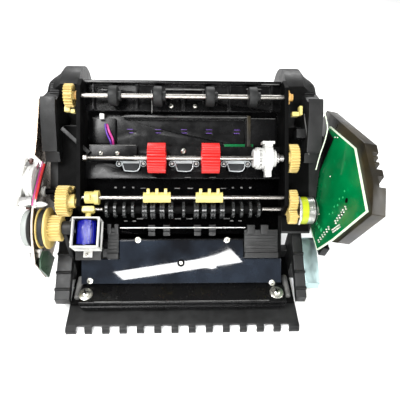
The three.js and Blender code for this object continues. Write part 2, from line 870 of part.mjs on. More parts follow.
function leftSidePlate() {
  const x1 = SIDE_PLATE_X + SIDE_PLATE_THICK;
  const plate = extrudeX(
    outline([
      [-44, 59],
      [-36, 24],
      [60, 24],
      [96, 60],
      [92, 150],
      [70, 157],
      [38, 135],
      [25, 128],
      [38, 107],
      [-9, 98],
      [-29, 84],
    ]),
    SIDE_PLATE_X,
    x1,
  );
  const motorHole = rod(MOTOR_BOSS_RADIUS + 0.6, SIDE_PLATE_X - 1, x1 + 1, toWorld(LEFT_MOTOR), 28);
  const axleHole = rod(3 + GAP, SIDE_PLATE_X - 1, x1 + 1, toWorld(COMPOUND), 20);
  return cut(plate, motorHole, axleHole);
}

function sensorBoard() {
  return extrudeX(
    outline([
      [-46, 52],
      [-38, 27],
      [-14, 27],
      [-20, 46],
      [-30, 58],
      [-40, 58],
    ]),
    SIDE_PLATE_X + SIDE_PLATE_THICK + 2.4,
    SIDE_PLATE_X + SIDE_PLATE_THICK + 4,
  );
}

// ---- drive on the right --------------------------------------------------------------------------------
const IDLER_TOOTH = 0;
const RIGHT_PINION_TOOTH = meshedTooth(
  IDLER_TOOTH,
  TEETH.rightIdler,
  TEETH.rightPinion,
  direction(IDLER, RIGHT_PINION),
);
const RIB_TOOTH = meshedTooth(IDLER_TOOTH, TEETH.rightIdler, TEETH.ribGear, direction(IDLER, RIB));
const RIGHT_GEAR_X = [97.8, 105.4];

function rightIdler() {
  const teeth = gear(TEETH.rightIdler, IDLER_TOOTH, ...RIGHT_GEAR_X, IDLER);
  const journal = rod(3, RIGHT_GEAR_X[1] - 0.5, 107.4, IDLER, 16);
  return join(teeth, journal);
}

function rightPinion() {
  const teeth = gear(TEETH.rightPinion, RIGHT_PINION_TOOTH, ...RIGHT_GEAR_X, RIGHT_PINION);
  const axle = rod(1.5, RIGHT_GEAR_X[1] - 0.5, 109.6, RIGHT_PINION, 12);
  return join(teeth, axle);
}

function ribGear() {
  const teeth = gear(TEETH.ribGear, RIB_TOOTH, ...RIGHT_GEAR_X, RIB);
  return bored(teeth, RIB_SHAFT_RADIUS + GAP, ...RIGHT_GEAR_X, RIB, 16);
}

function rightMotor() {
  const [up, out] = RIGHT_MOTOR;
  const can = turned(
    [
      [109.4, 13],
      [124, 13],
      [125.5, 12],
      [125.5, 5],
      [128, 5],
    ],
    RIGHT_MOTOR,
    32,
  );
  const plate = box(107.8, 110, up - 15, up + 13, out - 13.5, out + 13.5);
  const axleHole = rod(1.5 + GAP, 107, 110.5, RIGHT_PINION, 12);
  return cut(join(can, plate), axleHole);
}

// ---- solenoid and its link -------------------------------------------------------------------------------
const SOLENOID = new THREE.Vector3(-88.6, 36, 67);
const SOLENOID_TILT = -0.3;
const PLUNGER_RADIUS = 2.6;
const COIL_RADIUS = 8.8;
const YOKE = { halfWidth: 12.4, halfLength: 14, back: -10.4, front: 9.2, thick: 1.4 };

// A frame round the coil: a back plate, two deep end bars and two shallow side bars.
function solenoidFrame() {
  const { halfWidth, halfLength, back, front, thick } = YOKE;
  const plate = box(-halfWidth, halfWidth, -halfLength, halfLength, back, back + thick);
  const ends = [-halfLength, halfLength - thick].map((y) =>
    box(-halfWidth, halfWidth, y, y + thick, back, front),
  );
  const sides = [-halfWidth, halfWidth - thick].map((x) =>
    box(x, x + thick, -halfLength, halfLength, 5, front),
  );
  const foot = box(-4, 4, -20, 1 - halfLength, back, back + thick);
  const hole = new THREE.CylinderGeometry(PLUNGER_RADIUS + GAP, PLUNGER_RADIUS + GAP, 60, 20);
  return cut(join(plate, ...ends, ...sides, foot), hole);
}

function solenoidCoil() {
  const end = YOKE.halfLength - YOKE.thick - GAP;
  const coil = new THREE.CylinderGeometry(COIL_RADIUS, COIL_RADIUS, 2 * end - 1, 28);
  const flanges = [-end, end - 1.6].map((y) => box(-9, 9, y, y + 1.6, -8.6, 8.8));
  const bore = new THREE.CylinderGeometry(PLUNGER_RADIUS + GAP, PLUNGER_RADIUS + GAP, 60, 20);
  return cut(join(coil, ...flanges), bore);
}

// The plunger carries the link that turns the gate cam.
function solenoidPlunger() {
  const pin = new THREE.CylinderGeometry(PLUNGER_RADIUS, PLUNGER_RADIUS, 33, 20).translate(0, 3.5, 0);
  const link = box(-4.2, 6.4, 19.5, 24.4, 1, 8);
  const neck = box(-2.6, 4.4, 19.5, 20.6, -2.4, 4);
  return join(pin, link, neck);
}

// ---- electronics ------------------------------------------------------------------------------------------
const BOARD_TILT = Math.atan(0.21);
const BOARD_FOOT = [128, 50];

// Places a plate that was drawn in Y and Z so that it leans outwards from its foot line.
function leanOut(geometry) {
  const [x, z] = BOARD_FOOT;
  return geometry.translate(0, 0, -z).rotateY(BOARD_TILT).translate(x, 0, z);
}

function mainBoard() {
  const board = extrudeX(
    outline([
      [60, 53],
      [67, 133],
      [11, 150],
      [-49, 133],
      [-35.5, 80],
      [-26, 53],
    ]),
    0,
    1.6,
  );
  return leanOut(board);
}

const HOUSING_X = [2.2, 8, 14];
// The height of the housing's upper edge, which falls towards the front.
const housingTop = (y) => 160 - 0.275 * (6 - y);

function boardHousing() {
  const [inner, middle, outer] = HOUSING_X;
  const back = extrudeX(
    outline([
      [92, 104],
      [92, 136],
      [6, 160],
      [-34, 149],
      [-54, 135],
      [-41, 83],
      [-21, 62],
      [60, 62],
    ]),
    inner,
    middle,
  );
  const rear = extrudeX(
    outline([
      [92, 104],
      [92, 136],
      [6, 160],
      [-2, housingTop(-2)],
      [-2, 70],
      [60, 70],
    ]),
    middle - 0.5,
    outer,
  );
  const front = extrudeX(
    outline([
      [-35, 148.3],
      [-54, 135],
      [-41, 83],
      [-21, 62],
      [0, 62],
      [0, 90],
      [-35, 120],
    ]),
    middle - 0.5,
    outer,
  );
  const fins = [
    [-7.4, -5.2, 12.6],
    [-13.4, -11.2, 12.6],
    [-25.3, -18.3, outer],
  ].map(([y0, y1, x1]) =>
    extrudeX(
      outline([
        [y0, 118],
        [y1, 118],
        [y1, housingTop(y1)],
        [y0, housingTop(y0)],
      ]),
      middle - 0.5,
      x1,
    ),
  );
  return leanOut(join(back, rear, front, ...fins));
}

function supplyBox() {
  const outlinePoints = [
    [-46, 17],
    [-46, 26],
    [-8, 45],
    [-4, 45],
    [-4, 17],
  ];
  return extrudeX(outline(outlinePoints), 119.4, 133.5);
}

// ---- leads --------------------------------------------------------------------------------------------
function tube(points, radius, steps) {
  const curve = new THREE.CatmullRomCurve3(points.map((point) => new THREE.Vector3(...point)));
  const section = circleOutline(radius, 8);
  return new THREE.ExtrudeGeometry(section, { extrudePath: curve, steps, bevelEnabled: false });
}

const SENSOR_LEAD_ROUTE = [
  [-74.5, 141, 44],
  [-73.5, 139, 47],
  [-71.5, 133, 49],
  [-68.5, 126, 48],
  [-68, 121, 46],
  [-68, 119.6, 43],
];
const MOTOR_LEAD_ROUTE = [
  [-131.6, 101, 54],
  [-131.4, 92, 61.5],
  [-131.3, 84, 67.5],
  [-131.4, 76, 72],
  [-131.6, 69, 76],
  [-131.8, 64, 73.5],
];

// ---- assembly ---------------------------------------------------------------------------------------------
put(machine, "base_tray", baseTray(), SATIN_BLACK);
put(machine, "left_side_frame", sideFrame(-1), BLACK);
put(machine, "right_side_frame", sideFrame(1), BLACK);
put(machine, "left_cheek", cheek(-1), SATIN_BLACK);
put(machine, "right_cheek", cheek(1), SATIN_BLACK);
put(machine, "front_housing", frontHousing(), BLACK);
put(machine, "comb_guide", combGuide(), SATIN_BLACK);
put(machine, "left_rail", leftRail(), SATIN_BLACK);
put(machine, "right_rail", rightRail(), SATIN_BLACK);
put(machine, "left_washer_screw", washerScrew().translate(-93, -53.5, LEDGE_TOP + GAP), STEEL);
put(machine, "right_washer_screw", washerScrew().translate(90, -53.5, LEDGE_TOP + GAP), STEEL);
put(machine, "left_side_plate", leftSidePlate(), STEEL);
put(machine, "sensor_board", sensorBoard(), GREEN);
put(machine, "main_board", mainBoard(), GREEN);
put(machine, "board_housing", boardHousing(), BLACK);
put(machine, "supply_box", supplyBox(), ZINC);

put(deck, "cover_plate", coverPlate(), GLOSS_BLACK);
put(deck, "left_guide_block", leftGuideBlock(), SATIN_BLACK);
put(deck, "right_guide_block", guideBlock(59.4, 92, COVER_STEP + 1, 38, 16), SATIN_BLACK);
put(deck, "top_guide", topGuide(), BLACK);
put(deck, "sensor_panel", sensorPanel(), GLOSS_BLACK);
put(deck, "guide_plate", guidePlate(), BLACK);
["left_lens", "centre_lens", "right_lens"].forEach((name, i) => put(deck, name, lens(LENS_X[i]), CLEAR));
put(deck, "screw_bracket", screwBracket(), BLACK);

put(deck, "feed_shaft", feedShaft(), STEEL);
put(deck, "left_feed_roller", groovedRoller(-32.7, -16.5, 14, FEED_RADIUS, FEED, 30), RED);
put(deck, "right_feed_roller", groovedRoller(16.8, 33, 14, FEED_RADIUS, FEED, 30), RED);
put(deck, "feed_clutch", feedClutch(), WHITE);
put(deck, "clutch_strap", clutchStrap(), WHITE);
put(deck, "feed_gear", feedGear(), CREAM);

put(deck, "gate_shaft", rod(GATE_RADIUS, -WALL_OUT, WALL_OUT, GATE, 16), STEEL);
["left_gate_fingers", "right_gate_fingers"].forEach((name, i) =>
  put(deck, name, gateFingers(FINGER_X[i]), PALE_CREAM),
);
put(deck, "gate_cam", gateCam(), PALE_CREAM);

put(deck, "rib_shaft", rod(RIB_SHAFT_RADIUS, -96.5, 106, RIB, 16), STEEL);
put(deck, "rib_roller", ribRoller(), BLACK);
put(deck, "rib_gear", ribGear(), CREAM);

put(deck, "top_shaft", rod(TOP_RADIUS, -109, 101, TOP, 16), STEEL);
for (const [place, x] of Object.entries(TOP_ROLLER_X)) put(deck, `${place}_top_roller`, topRoller(x), BLACK);
const topTeeth = gear(TEETH.topGear, 0, -108, -100.6, TOP);
put(deck, "top_gear", bored(topTeeth, TOP_RADIUS + GAP, -108, -100, TOP, 16), CREAM);

put(deck, "drive_gear", driveGear(), CREAM);
put(deck, "compound_gear", compoundGear(), CREAM);
put(deck, "hand_knob", handKnob(), GREY);
put(deck, "drive_belt", driveBelt(), BLACK);
put(deck, "transfer_pulley", transferPulley(), CREAM);
put(deck, "left_motor", leftMotor(), WHITE);
put(deck, "left_motor_pinion", leftPinion(), CREAM);

put(deck, "right_idler_gear", rightIdler(), CREAM);
put(deck, "right_motor_pinion", rightPinion(), CREAM);
put(deck, "right_motor", rightMotor(), STEEL);

const solenoid = new THREE.Group();
solenoid.position.copy(SOLENOID);
solenoid.rotation.x = SOLENOID_TILT;
deck.add(solenoid);
put(solenoid, "solenoid_frame", solenoidFrame(), STEEL);
put(solenoid, "solenoid_coil", solenoidCoil(), BLUE);
put(solenoid, "solenoid_plunger", solenoidPlunger(), STEEL);

put(deck, "sensor_lead", tube(SENSOR_LEAD_ROUTE, 1.1, 12), LEAD);
put(deck, "motor_lead", tube(MOTOR_LEAD_ROUTE, 1.2, 16), LEAD);

export default machine;
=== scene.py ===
import json
import math
import random

import bmesh
import bpy
from mathutils import Matrix, Vector
from mathutils.geometry import tessellate_polygon


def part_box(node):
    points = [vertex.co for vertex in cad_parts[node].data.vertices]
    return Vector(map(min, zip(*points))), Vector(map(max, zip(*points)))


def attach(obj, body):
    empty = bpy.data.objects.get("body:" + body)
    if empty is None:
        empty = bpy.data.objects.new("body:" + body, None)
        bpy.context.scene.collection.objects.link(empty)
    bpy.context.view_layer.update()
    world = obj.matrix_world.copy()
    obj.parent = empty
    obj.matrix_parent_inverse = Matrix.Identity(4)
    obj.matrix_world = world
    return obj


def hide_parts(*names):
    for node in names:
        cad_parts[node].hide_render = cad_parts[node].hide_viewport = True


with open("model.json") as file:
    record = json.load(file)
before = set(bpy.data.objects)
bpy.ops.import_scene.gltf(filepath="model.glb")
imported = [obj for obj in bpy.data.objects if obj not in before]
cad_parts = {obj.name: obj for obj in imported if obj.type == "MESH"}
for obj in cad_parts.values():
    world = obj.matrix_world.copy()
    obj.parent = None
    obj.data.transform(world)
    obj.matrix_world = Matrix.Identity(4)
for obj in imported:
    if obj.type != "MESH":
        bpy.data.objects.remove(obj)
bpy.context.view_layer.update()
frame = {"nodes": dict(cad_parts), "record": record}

MM = 0.001
random.seed(7)

# The shafts and guides lie on a deck that climbs at 45 degrees.
# Points on it are (across, up the slope, out of it), in millimetres.
DECK = Matrix.Rotation(math.radians(45), 4, "X")
WORLD = Matrix.Identity(4)
RECORD = frame["record"]
BODY = {node: body for body, nodes in RECORD["behaviour"]["bodies"].items() for node in nodes}
SLOT = {part["node"]: part["material_slot"] for part in RECORD["subparts"]}


def deck_box(node):
    """A node's lowest and highest corners on the deck, in millimetres."""
    flat = DECK.inverted()
    points = [flat @ v.co / MM for v in frame["nodes"][node].data.vertices]
    low = Vector([min(p[i] for p in points) for i in range(3)])
    high = Vector([max(p[i] for p in points) for i in range(3)])
    return low, high


def world_box(node):
    low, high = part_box(node)
    return low / MM, high / MM


def axis_of(node):
    """The up-and-out place of a shaft's or gear's axis."""
    low, high = deck_box(node)
    return ((low[1] + high[1]) / 2, (low[2] + high[2]) / 2)


# ---- camera and light ----------------------------------------
def look_from(azimuth, elevation, distance, target, yaw):
    position = Vector((0, -math.cos(elevation), math.sin(elevation))) * distance
    position = Matrix.Rotation(azimuth, 3, "Z") @ position + target
    camera = bpy.data.objects.new("camera", bpy.data.cameras.new("camera"))
    bpy.context.scene.collection.objects.link(camera)
    camera.location = position
    turn = (target - position).to_track_quat("-Z", "Y").to_matrix().to_4x4()
    camera.matrix_world = Matrix.Translation(position) @ turn @ Matrix.Rotation(-yaw, 4, "Y")
    camera.data.sensor_width = 36
    camera.data.lens = 36.9
    camera.data.clip_start = 0.01
    bpy.context.scene.camera = camera


look_from(0, math.radians(45), 0.380, Vector((0, 0, 0.095)), math.radians(2.3))
bpy.context.scene.view_settings.view_transform = "Standard"


def area_light(name, place, towards, size, power, color=(1, 1, 1), shape="RECTANGLE", spin=0.0):
    data = bpy.data.lights.new(name, "AREA")
    data.shape = shape
    data.size, data.size_y = size
    data.energy = power
    data.color = color
    light = bpy.data.objects.new(name, data)
    bpy.context.scene.collection.objects.link(light)
    place, towards = Vector(place), Vector(towards)
    turn = (towards - place).to_track_quat("-Z", "Y").to_matrix().to_4x4()
    light.matrix_world = Matrix.Translation(place) @ turn @ Matrix.Rotation(spin, 4, "Z")
    return light


def deck_point(across, up, out):
    return DECK @ Vector((across, up, out)) * MM


def studio():
    world = bpy.data.worlds.new("studio")
    world.use_nodes = True
    background = world.node_tree.nodes["Background"]
    background.inputs["Color"].default_value = (1, 1, 1, 1)
    background.inputs["Strength"].default_value = 0.34
    bpy.context.scene.world = world
    middle = (0, 0, 0.08)
    area_light("key", (-0.35, -0.25, 0.85), middle, (0.35, 0.35), 11)
    area_light("fill", (0.75, -0.30, 0.55), middle, (0.3, 0.5), 4.5)
    area_light("back", (0.1, 0.75, 0.60), middle, (0.9, 0.3), 8)
    # The cover is a mirror that faces the camera, and shows these two as a bright streak and an oval.
    level = 447
    streak, oval = (-14, -61), (72, -58)
    area_light("streak", deck_point(*streak, level), deck_point(*streak, 0), (0.34, 0.062), 2.0, spin=0.36)
    area_light(
        "oval", deck_point(*oval, level), deck_point(*oval, 0), (0.034, 0.022), 0.12,
        shape="ELLIPSE", spin=-0.5,
    )


studio()


# ---- meshes --------------------------------------------------
def new_piece(
    name, bm, material, body=None, nodes=(), place=DECK, bevel=0.0, segments=2, sharp=38
):
    """Makes an object from a bmesh in millimetres, rounds its sharp edges and hangs it on a body:
    the one it names, or its node's, or the chassis."""
    body = body or (BODY[nodes[0]] if nodes else "chassis")
    bmesh.ops.remove_doubles(bm, verts=bm.verts, dist=1e-4)
    bmesh.ops.recalc_face_normals(bm, faces=bm.faces)
    if bevel > 0:
        least = math.radians(28)
        edges = [e for e in bm.edges if len(e.link_faces) == 2 and e.calc_face_angle(0) > least]
        bmesh.ops.bevel(
            bm, geom=edges, offset=bevel, segments=segments, profile=0.7, affect="EDGES", clamp_overlap=True
        )
    bmesh.ops.transform(bm, matrix=Matrix.Scale(MM, 4) @ place, verts=bm.verts)
    mesh = bpy.data.meshes.new(name)
    bm.to_mesh(mesh)
    bm.free()
    mesh.shade_smooth()
    mesh.set_sharp_from_angle(angle=math.radians(sharp))
    mesh.materials.append(material)
    piece = bpy.data.objects.new(name, mesh)
    bpy.context.scene.collection.objects.link(piece)
    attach(piece, body)
    if nodes:
        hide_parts(*nodes)


def merge(*parts):
    """One bmesh from several."""
    whole = bmesh.new()
    for part in parts:
        mesh = bpy.data.meshes.new("part")
        part.to_mesh(mesh)
        whole.from_mesh(mesh)
        bpy.data.meshes.remove(mesh)
        part.free()
    return whole


def moved(bm, matrix):
    bmesh.ops.transform(bm, matrix=matrix, verts=bm.verts)
    return bm


def shift(bm, x=0.0, y=0.0, z=0.0):
    return moved(bm, Matrix.Translation((x, y, z)))


def box(x0, x1, y0, y1, z0, z1):
    bm = bmesh.new()
    bmesh.ops.create_cube(bm, size=1)
    size = Matrix.Diagonal((x1 - x0, y1 - y0, z1 - z0, 1))
    return moved(bm, Matrix.Translation(((x0 + x1) / 2, (y0 + y1) / 2, (z0 + z1) / 2)) @ size)


def extrude_x(outer, x0, x1, holes=()):
    """A prism along X from an outline of (y, z) points, with holes."""
    bm = bmesh.new()
    loops = [list(outer), *[list(hole) for hole in holes]]
    caps = []
    for x in (x0, x1):
        caps.append([[bm.verts.new((x, y, z)) for y, z in loop] for loop in loops])
    flat = [[Vector((y, z, 0)) for y, z in loop] for loop in loops]
    if len(loops) == 1:
        bm.faces.new(caps[0][0])
        bm.faces.new(caps[1][0])
    else:
        for cap in caps:
            every = [v for loop in cap for v in loop]
            for a, b, c in tessellate_polygon(flat):
                bm.faces.new((every[a], every[b], every[c]))
    for near, far in zip(*caps):
        for i in range(len(near)):
            j = (i + 1) % len(near)
            bm.faces.new((near[i], near[j], far[j], far[i]))
    bmesh.ops.recalc_face_normals(bm, faces=bm.faces)
    if len(loops) > 1:
        bmesh.ops.dissolve_limit(bm, angle_limit=0.001, verts=bm.verts, edges=bm.edges)
    return bm


def circle(radius, sides=48, start=0.0):
    return [
        (radius * math.cos(start + math.tau * i / sides), radius * math.sin(start + math.tau * i / sides))
        for i in range(sides)
    ]


def lathe(steps, axis=(0, 0), sides=64, bore=0.0):
    """A solid of revolution about X from (x, radius) steps, closed on the axis or round a bore."""
    profile = list(steps)
    if bore > 0:
        profile = [(profile[0][0], bore), *profile, (profile[-1][0], bore)]
    bm = bmesh.new()
    rings = []
    for x, radius in profile:
        rings.append([bm.verts.new((x, radius * c, radius * s)) for c, s in circle(1, sides)])
    pairs = list(zip(rings, rings[1:]))
    if bore > 0:
        pairs.append((rings[-1], rings[0]))
    for near, far in pairs:
        for i in range(sides):
            j = (i + 1) % sides
            bm.faces.new((near[i], near[j], far[j], far[i]))
    if bore == 0:
        bm.faces.new(rings[0])
        bm.faces.new(rings[-1])
    return shift(bm, 0, *axis)


def turn_to(bm, axis_from, axis_to):
    """Turns a bmesh so that one direction becomes another."""
    spin = Vector(axis_from).rotation_difference(Vector(axis_to)).to_matrix().to_4x4()
    return moved(bm, spin)


def tube_bm(points, radius, sides=12, rounds=6):
    """A round tube along a smooth curve through points, in millimetres."""
    path = []
    count = len(points)
    for i in range(count - 1):
        p0, p1, p2, p3 = (Vector(points[max(0, min(count - 1, i + k))]) for k in (-1, 0, 1, 2))
        for k in range(rounds):
            t = k / rounds
            path.append(
                0.5 * ((2 * p1) + (p2 - p0) * t + (2 * p0 - 5 * p1 + 4 * p2 - p3) * t * t
                       + (3 * p1 - p0 - 3 * p2 + p3) * t * t * t)
            )
    path.append(Vector(points[-1]))
    bm = bmesh.new()
    rings = []
    side = None
    for i, point in enumerate(path):
        ahead = (path[min(i + 1, len(path) - 1)] - path[max(i - 1, 0)]).normalized()
        if side is None:
            side = ahead.orthogonal().normalized()
        side = (side - ahead * side.dot(ahead)).normalized()
        up = ahead.cross(side)
        rings.append([bm.verts.new(point + side * c + up * s) for c, s in circle(radius, sides)])
    for near, far in zip(rings, rings[1:]):
        for i in range(sides):
            j = (i + 1) % sides
            bm.faces.new((near[i], near[j], far[j], far[i]))
    bm.faces.new(rings[0])
    bm.faces.new(rings[-1])
    return bm


def refined(node, material, bevel=0.5):
    """A copy of a CAD node with its flat faces whole again and its edges rounded."""
    bm = bmesh.new()
    bm.from_mesh(frame["nodes"][node].data)
    bmesh.ops.transform(bm, matrix=Matrix.Scale(1 / MM, 4), verts=bm.verts)
    bmesh.ops.remove_doubles(bm, verts=bm.verts, dist=1e-3)
    bmesh.ops.dissolve_limit(bm, angle_limit=math.radians(1), verts=bm.verts, edges=bm.edges)
    new_piece(f"{node}_shell", bm, material, nodes=(node,), place=WORLD, bevel=bevel)


def cone_ring(radius, thick, sides=40, round_sides=10):
    """A ring of round section about Z."""
    bm = bmesh.new()
    rings = []
    for c, s in circle(1, sides):
        spot = [(radius + thick * a, thick * b) for a, b in circle(1, round_sides)]
        rings.append([bm.verts.new((r * c, r * s, z)) for r, z in spot])
    for i, near in enumerate(rings):
        far = rings[(i + 1) % sides]
        for k in range(round_sides):
            j = (k + 1) % round_sides
            bm.faces.new((near[k], near[j], far[j], far[k]))
    return bm


def upright(bm):
    """Turns a shape made along X to stand along Z."""
    return turn_to(bm, (1, 0, 0), (0, 0, 1))


def disc(radius, z0, z1, x=0.0, y=0.0, sides=32):
    return shift(upright(lathe([(z0, radius), (z1, radius)], sides=sides)), x, y)


def screws(name, spots, radius, height, place=DECK, washer=0.0):
    """Round-headed screws with cross recesses, standing out of a face at each spot."""
    heads, marks = [], []
    for x, y, z in spots:
        profile = [(0, 1), (0.4, 1), (0.8, 0.8), (1, 0.4)]
        head = lathe([(height * up, radius * out) for up, out in profile], sides=28)
        heads.append(shift(upright(head), x, y, z))
        if washer:
            ring = lathe([(-0.3, washer), (0.5, washer), (0.6, washer - 0.5)], sides=36)
            heads.append(shift(upright(ring), x, y, z))
        # The dark cross sits flush with the head's top: painted shade for the cross recess.
        arm, half = 0.58 * radius, 0.13 * radius
        cross = merge(
            box(-arm, arm, -half, half, height - 0.5, height + 0.04),
            box(-half, half, -arm, arm, height - 0.5, height + 0.04),
        )
        spin = Matrix.Rotation(random.uniform(0, math.pi), 4, "Z")
        marks.append(moved(cross, Matrix.Translation((x, y, z)) @ spin))
    new_piece(name, merge(*heads), SCREW, place=place)
    new_piece(f"{name}_recesses", merge(*marks), DARK_AND_SHADE, place=place)


# ---- gears ---------------------------------------------------
MODULE = 0.9
PRESSURE_ANGLE = math.radians(20)
BACKLASH = 0.14


def tooth_points(teeth, tooth_angle, steps=4):
    """The outline of an involute gear about its axis, as (up, out) points."""
    pitch = teeth * MODULE / 2
    base = pitch * math.cos(PRESSURE_ANGLE)
    half_at_pitch = math.pi / (2 * teeth) - BACKLASH / (2 * pitch)
    at_pitch = math.tan(PRESSURE_ANGLE) - PRESSURE_ANGLE
    root, tip = pitch - 1.2 * MODULE, pitch + 0.85 * MODULE

    def half_angle(radius):
        rolled = math.acos(base / radius) if radius > base else 0
        return half_at_pitch + at_pitch - (math.tan(rolled) - rolled)

    flank = [root + (tip - root) * k / (steps - 1) for k in range(steps)]
    points = []
    for tooth in range(teeth):
        centre = tooth_angle + math.tau * tooth / teeth
        rising = [(r, centre - half_angle(r)) for r in flank]
        falling = [(r, centre + half_angle(r)) for r in reversed(flank)]
        points += [(r * math.cos(a), r * math.sin(a)) for r, a in rising + falling]
    return points


def meshed_tooth(tooth_angle, teeth, other_teeth, towards_other):
    carried = (tooth_angle - towards_other) * teeth / other_teeth
    return towards_other + math.pi - carried - math.pi / other_teeth


def direction(start, end):
    return math.atan2(end[1] - start[1], end[0] - start[0])


def toothed(teeth, tooth_angle, x0, x1, axis, wall=2.2, web=1.4):
    """A moulded gear: a toothed rim round a thinner web."""
    root = teeth * MODULE / 2 - 1.2 * MODULE
    inner = root - wall
    rim = extrude_x(tooth_points(teeth, tooth_angle), x0, x1, [list(reversed(circle(inner, 48)))])
    middle = lathe([(x0 + web, inner + 0.2), (x1 - web, inner + 0.2)], sides=48)
    return shift(merge(rim, middle), 0, *axis)


# ---- materials -----------------------------------------------
def shader(name):
    material = bpy.data.materials.new(name)
    material.use_nodes = True
    tree = material.node_tree
    return material, tree, tree.nodes["Principled BSDF"]


def add(tree, kind, inputs=(), **settings):
    node = tree.nodes.new(kind)
    for key, value in settings.items():
        setattr(node, key, value)
    for key, value in dict(inputs).items():
        node.inputs[key].default_value = value
    return node


def coords(tree, scale=(1, 1, 1)):
    place = add(tree, "ShaderNodeTexCoord")
    mapping = add(tree, "ShaderNodeMapping", {"Scale": scale})
    tree.links.new(place.outputs["Object"], mapping.inputs["Vector"])
    return mapping.outputs["Vector"]


def noise(tree, vector, scale, detail=4.0, rough=0.55):
    node = add(tree, "ShaderNodeTexNoise", {"Scale": scale, "Detail": detail, "Roughness": rough})
    tree.links.new(vector, node.inputs["Vector"])
    return node.outputs["Fac"]


def ramp(tree, fac, stops):
    node = add(tree, "ShaderNodeValToRGB")
    ramp_stops = node.color_ramp.elements
    while len(ramp_stops) < len(stops):
        ramp_stops.new(0.5)
    for element, (position, color) in zip(ramp_stops, stops):
        element.position = position
        element.color = (*color, 1) if len(color) == 3 else color
    tree.links.new(fac, node.inputs["Fac"])
    return node.outputs["Color"]


def spread(tree, fac, low, high):
    node = add(tree, "ShaderNodeMapRange", {"From Min": 0.3, "From Max": 0.7, "To Min": low, "To Max": high})
    tree.links.new(fac, node.inputs["Value"])
    return node.outputs["Result"]


def bump(tree, bsdf, height, distance, strength=1.0):
    node = add(tree, "ShaderNodeBump", {"Distance": distance, "Strength": strength})
    tree.links.new(height, node.inputs["Height"])
    tree.links.new(node.outputs["Normal"], bsdf.inputs["Normal"])


def shade(color, factor):
    return tuple(min(1.0, c * factor) for c in color)


def plastic(name, color, rough=(0.35, 0.5), grain=900.0, depth=0.00003, contrast=0.18, sheen=0.5):
    """Moulded plastic: slow colour drift, uneven gloss and a fine moulded grain."""
    dark, light = shade(color, 1 - contrast), shade(color, 1 + contrast)
    return blotched(name, dark, light, rough, grain, depth, 35.0, sheen)


def blotched(name, dark, light, rough, grain, depth, blotch, sheen=0.5):
    """A surface that drifts between two colours."""
    material, tree, bsdf = shader(name)
    vector = coords(tree)
    drift = noise(tree, vector, blotch, 5)
    tree.links.new(ramp(tree, drift, [(0.32, dark), (0.68, light)]), bsdf.inputs["Base Color"])
    tree.links.new(spread(tree, noise(tree, vector, blotch * 3, 6), *rough), bsdf.inputs["Roughness"])
    bump(tree, bsdf, noise(tree, vector, grain, 3), depth)
    bsdf.inputs["Specular IOR Level"].default_value = sheen
    return material


def metal(name, color, rough=(0.18, 0.3), stretch=(1, 1, 1), scale=700.0, depth=0.00001, dark=0.8):
    """Metal with a drawn or ground grain along the directions that aren't stretched."""
    material, tree, bsdf = shader(name)
    vector = coords(tree, stretch)
    fine = noise(tree, vector, scale, 4)
    slow = noise(tree, coords(tree), 40, 5)
    tint = ramp(tree, slow, [(0.3, shade(color, dark)), (0.7, color)])
    tree.links.new(tint, bsdf.inputs["Base Color"])
    tree.links.new(spread(tree, fine, *rough), bsdf.inputs["Roughness"])
    bsdf.inputs["Metallic"].default_value = 1.0
    bump(tree, bsdf, fine, depth)
    return material


def wound(name, dark, light, turns_per_metre):
    """A coil's close turns under varnish."""
    material, tree, bsdf = shader(name)
    vector = coords(tree)
    settings = {"Scale": turns_per_metre, "Distortion": 1.5, "Detail": 2}
    wave = add(tree, "ShaderNodeTexWave", settings, bands_direction="X")
    tree.links.new(vector, wave.inputs["Vector"])
    tree.links.new(ramp(tree, wave.outputs["Fac"], [(0.2, dark), (0.9, light)]), bsdf.inputs["Base Color"])
    tree.links.new(spread(tree, noise(tree, vector, 200, 5), 0.12, 0.3), bsdf.inputs["Roughness"])
    bump(tree, bsdf, wave.outputs["Fac"], 0.0001)
    return material


def circuit_board(name):
    """Glossy solder mask with traces showing through it."""
    material, tree, bsdf = shader(name)
    vector = coords(tree, (1, 0.35, 1))
    cells = add(tree, "ShaderNodeTexVoronoi", {"Scale": 170.0, "Randomness": 0.7}, distance="MANHATTAN")
    tree.links.new(vector, cells.inputs["Vector"])
    traces = ramp(tree, cells.outputs["Distance"], [(0.12, (0.0, 0.20, 0.055)), (0.3, (0.0, 0.12, 0.03))])
    drift = noise(tree, coords(tree), 22, 3)
    slow = ramp(tree, drift, [(0.35, (0.0, 0.07, 0.02)), (0.65, (0.0, 0.21, 0.06))])
    mix = add(tree, "ShaderNodeMix", data_type="RGBA")
    mix.inputs["Factor"].default_value = 0.5
    tree.links.new(traces, mix.inputs["A"])
    tree.links.new(slow, mix.inputs["B"])
    tree.links.new(mix.outputs["Result"], bsdf.inputs["Base Color"])
    tree.links.new(spread(tree, noise(tree, coords(tree), 60, 5), 0.1, 0.24), bsdf.inputs["Roughness"])
    bump(tree, bsdf, cells.outputs["Distance"], 0.00003)
    return material


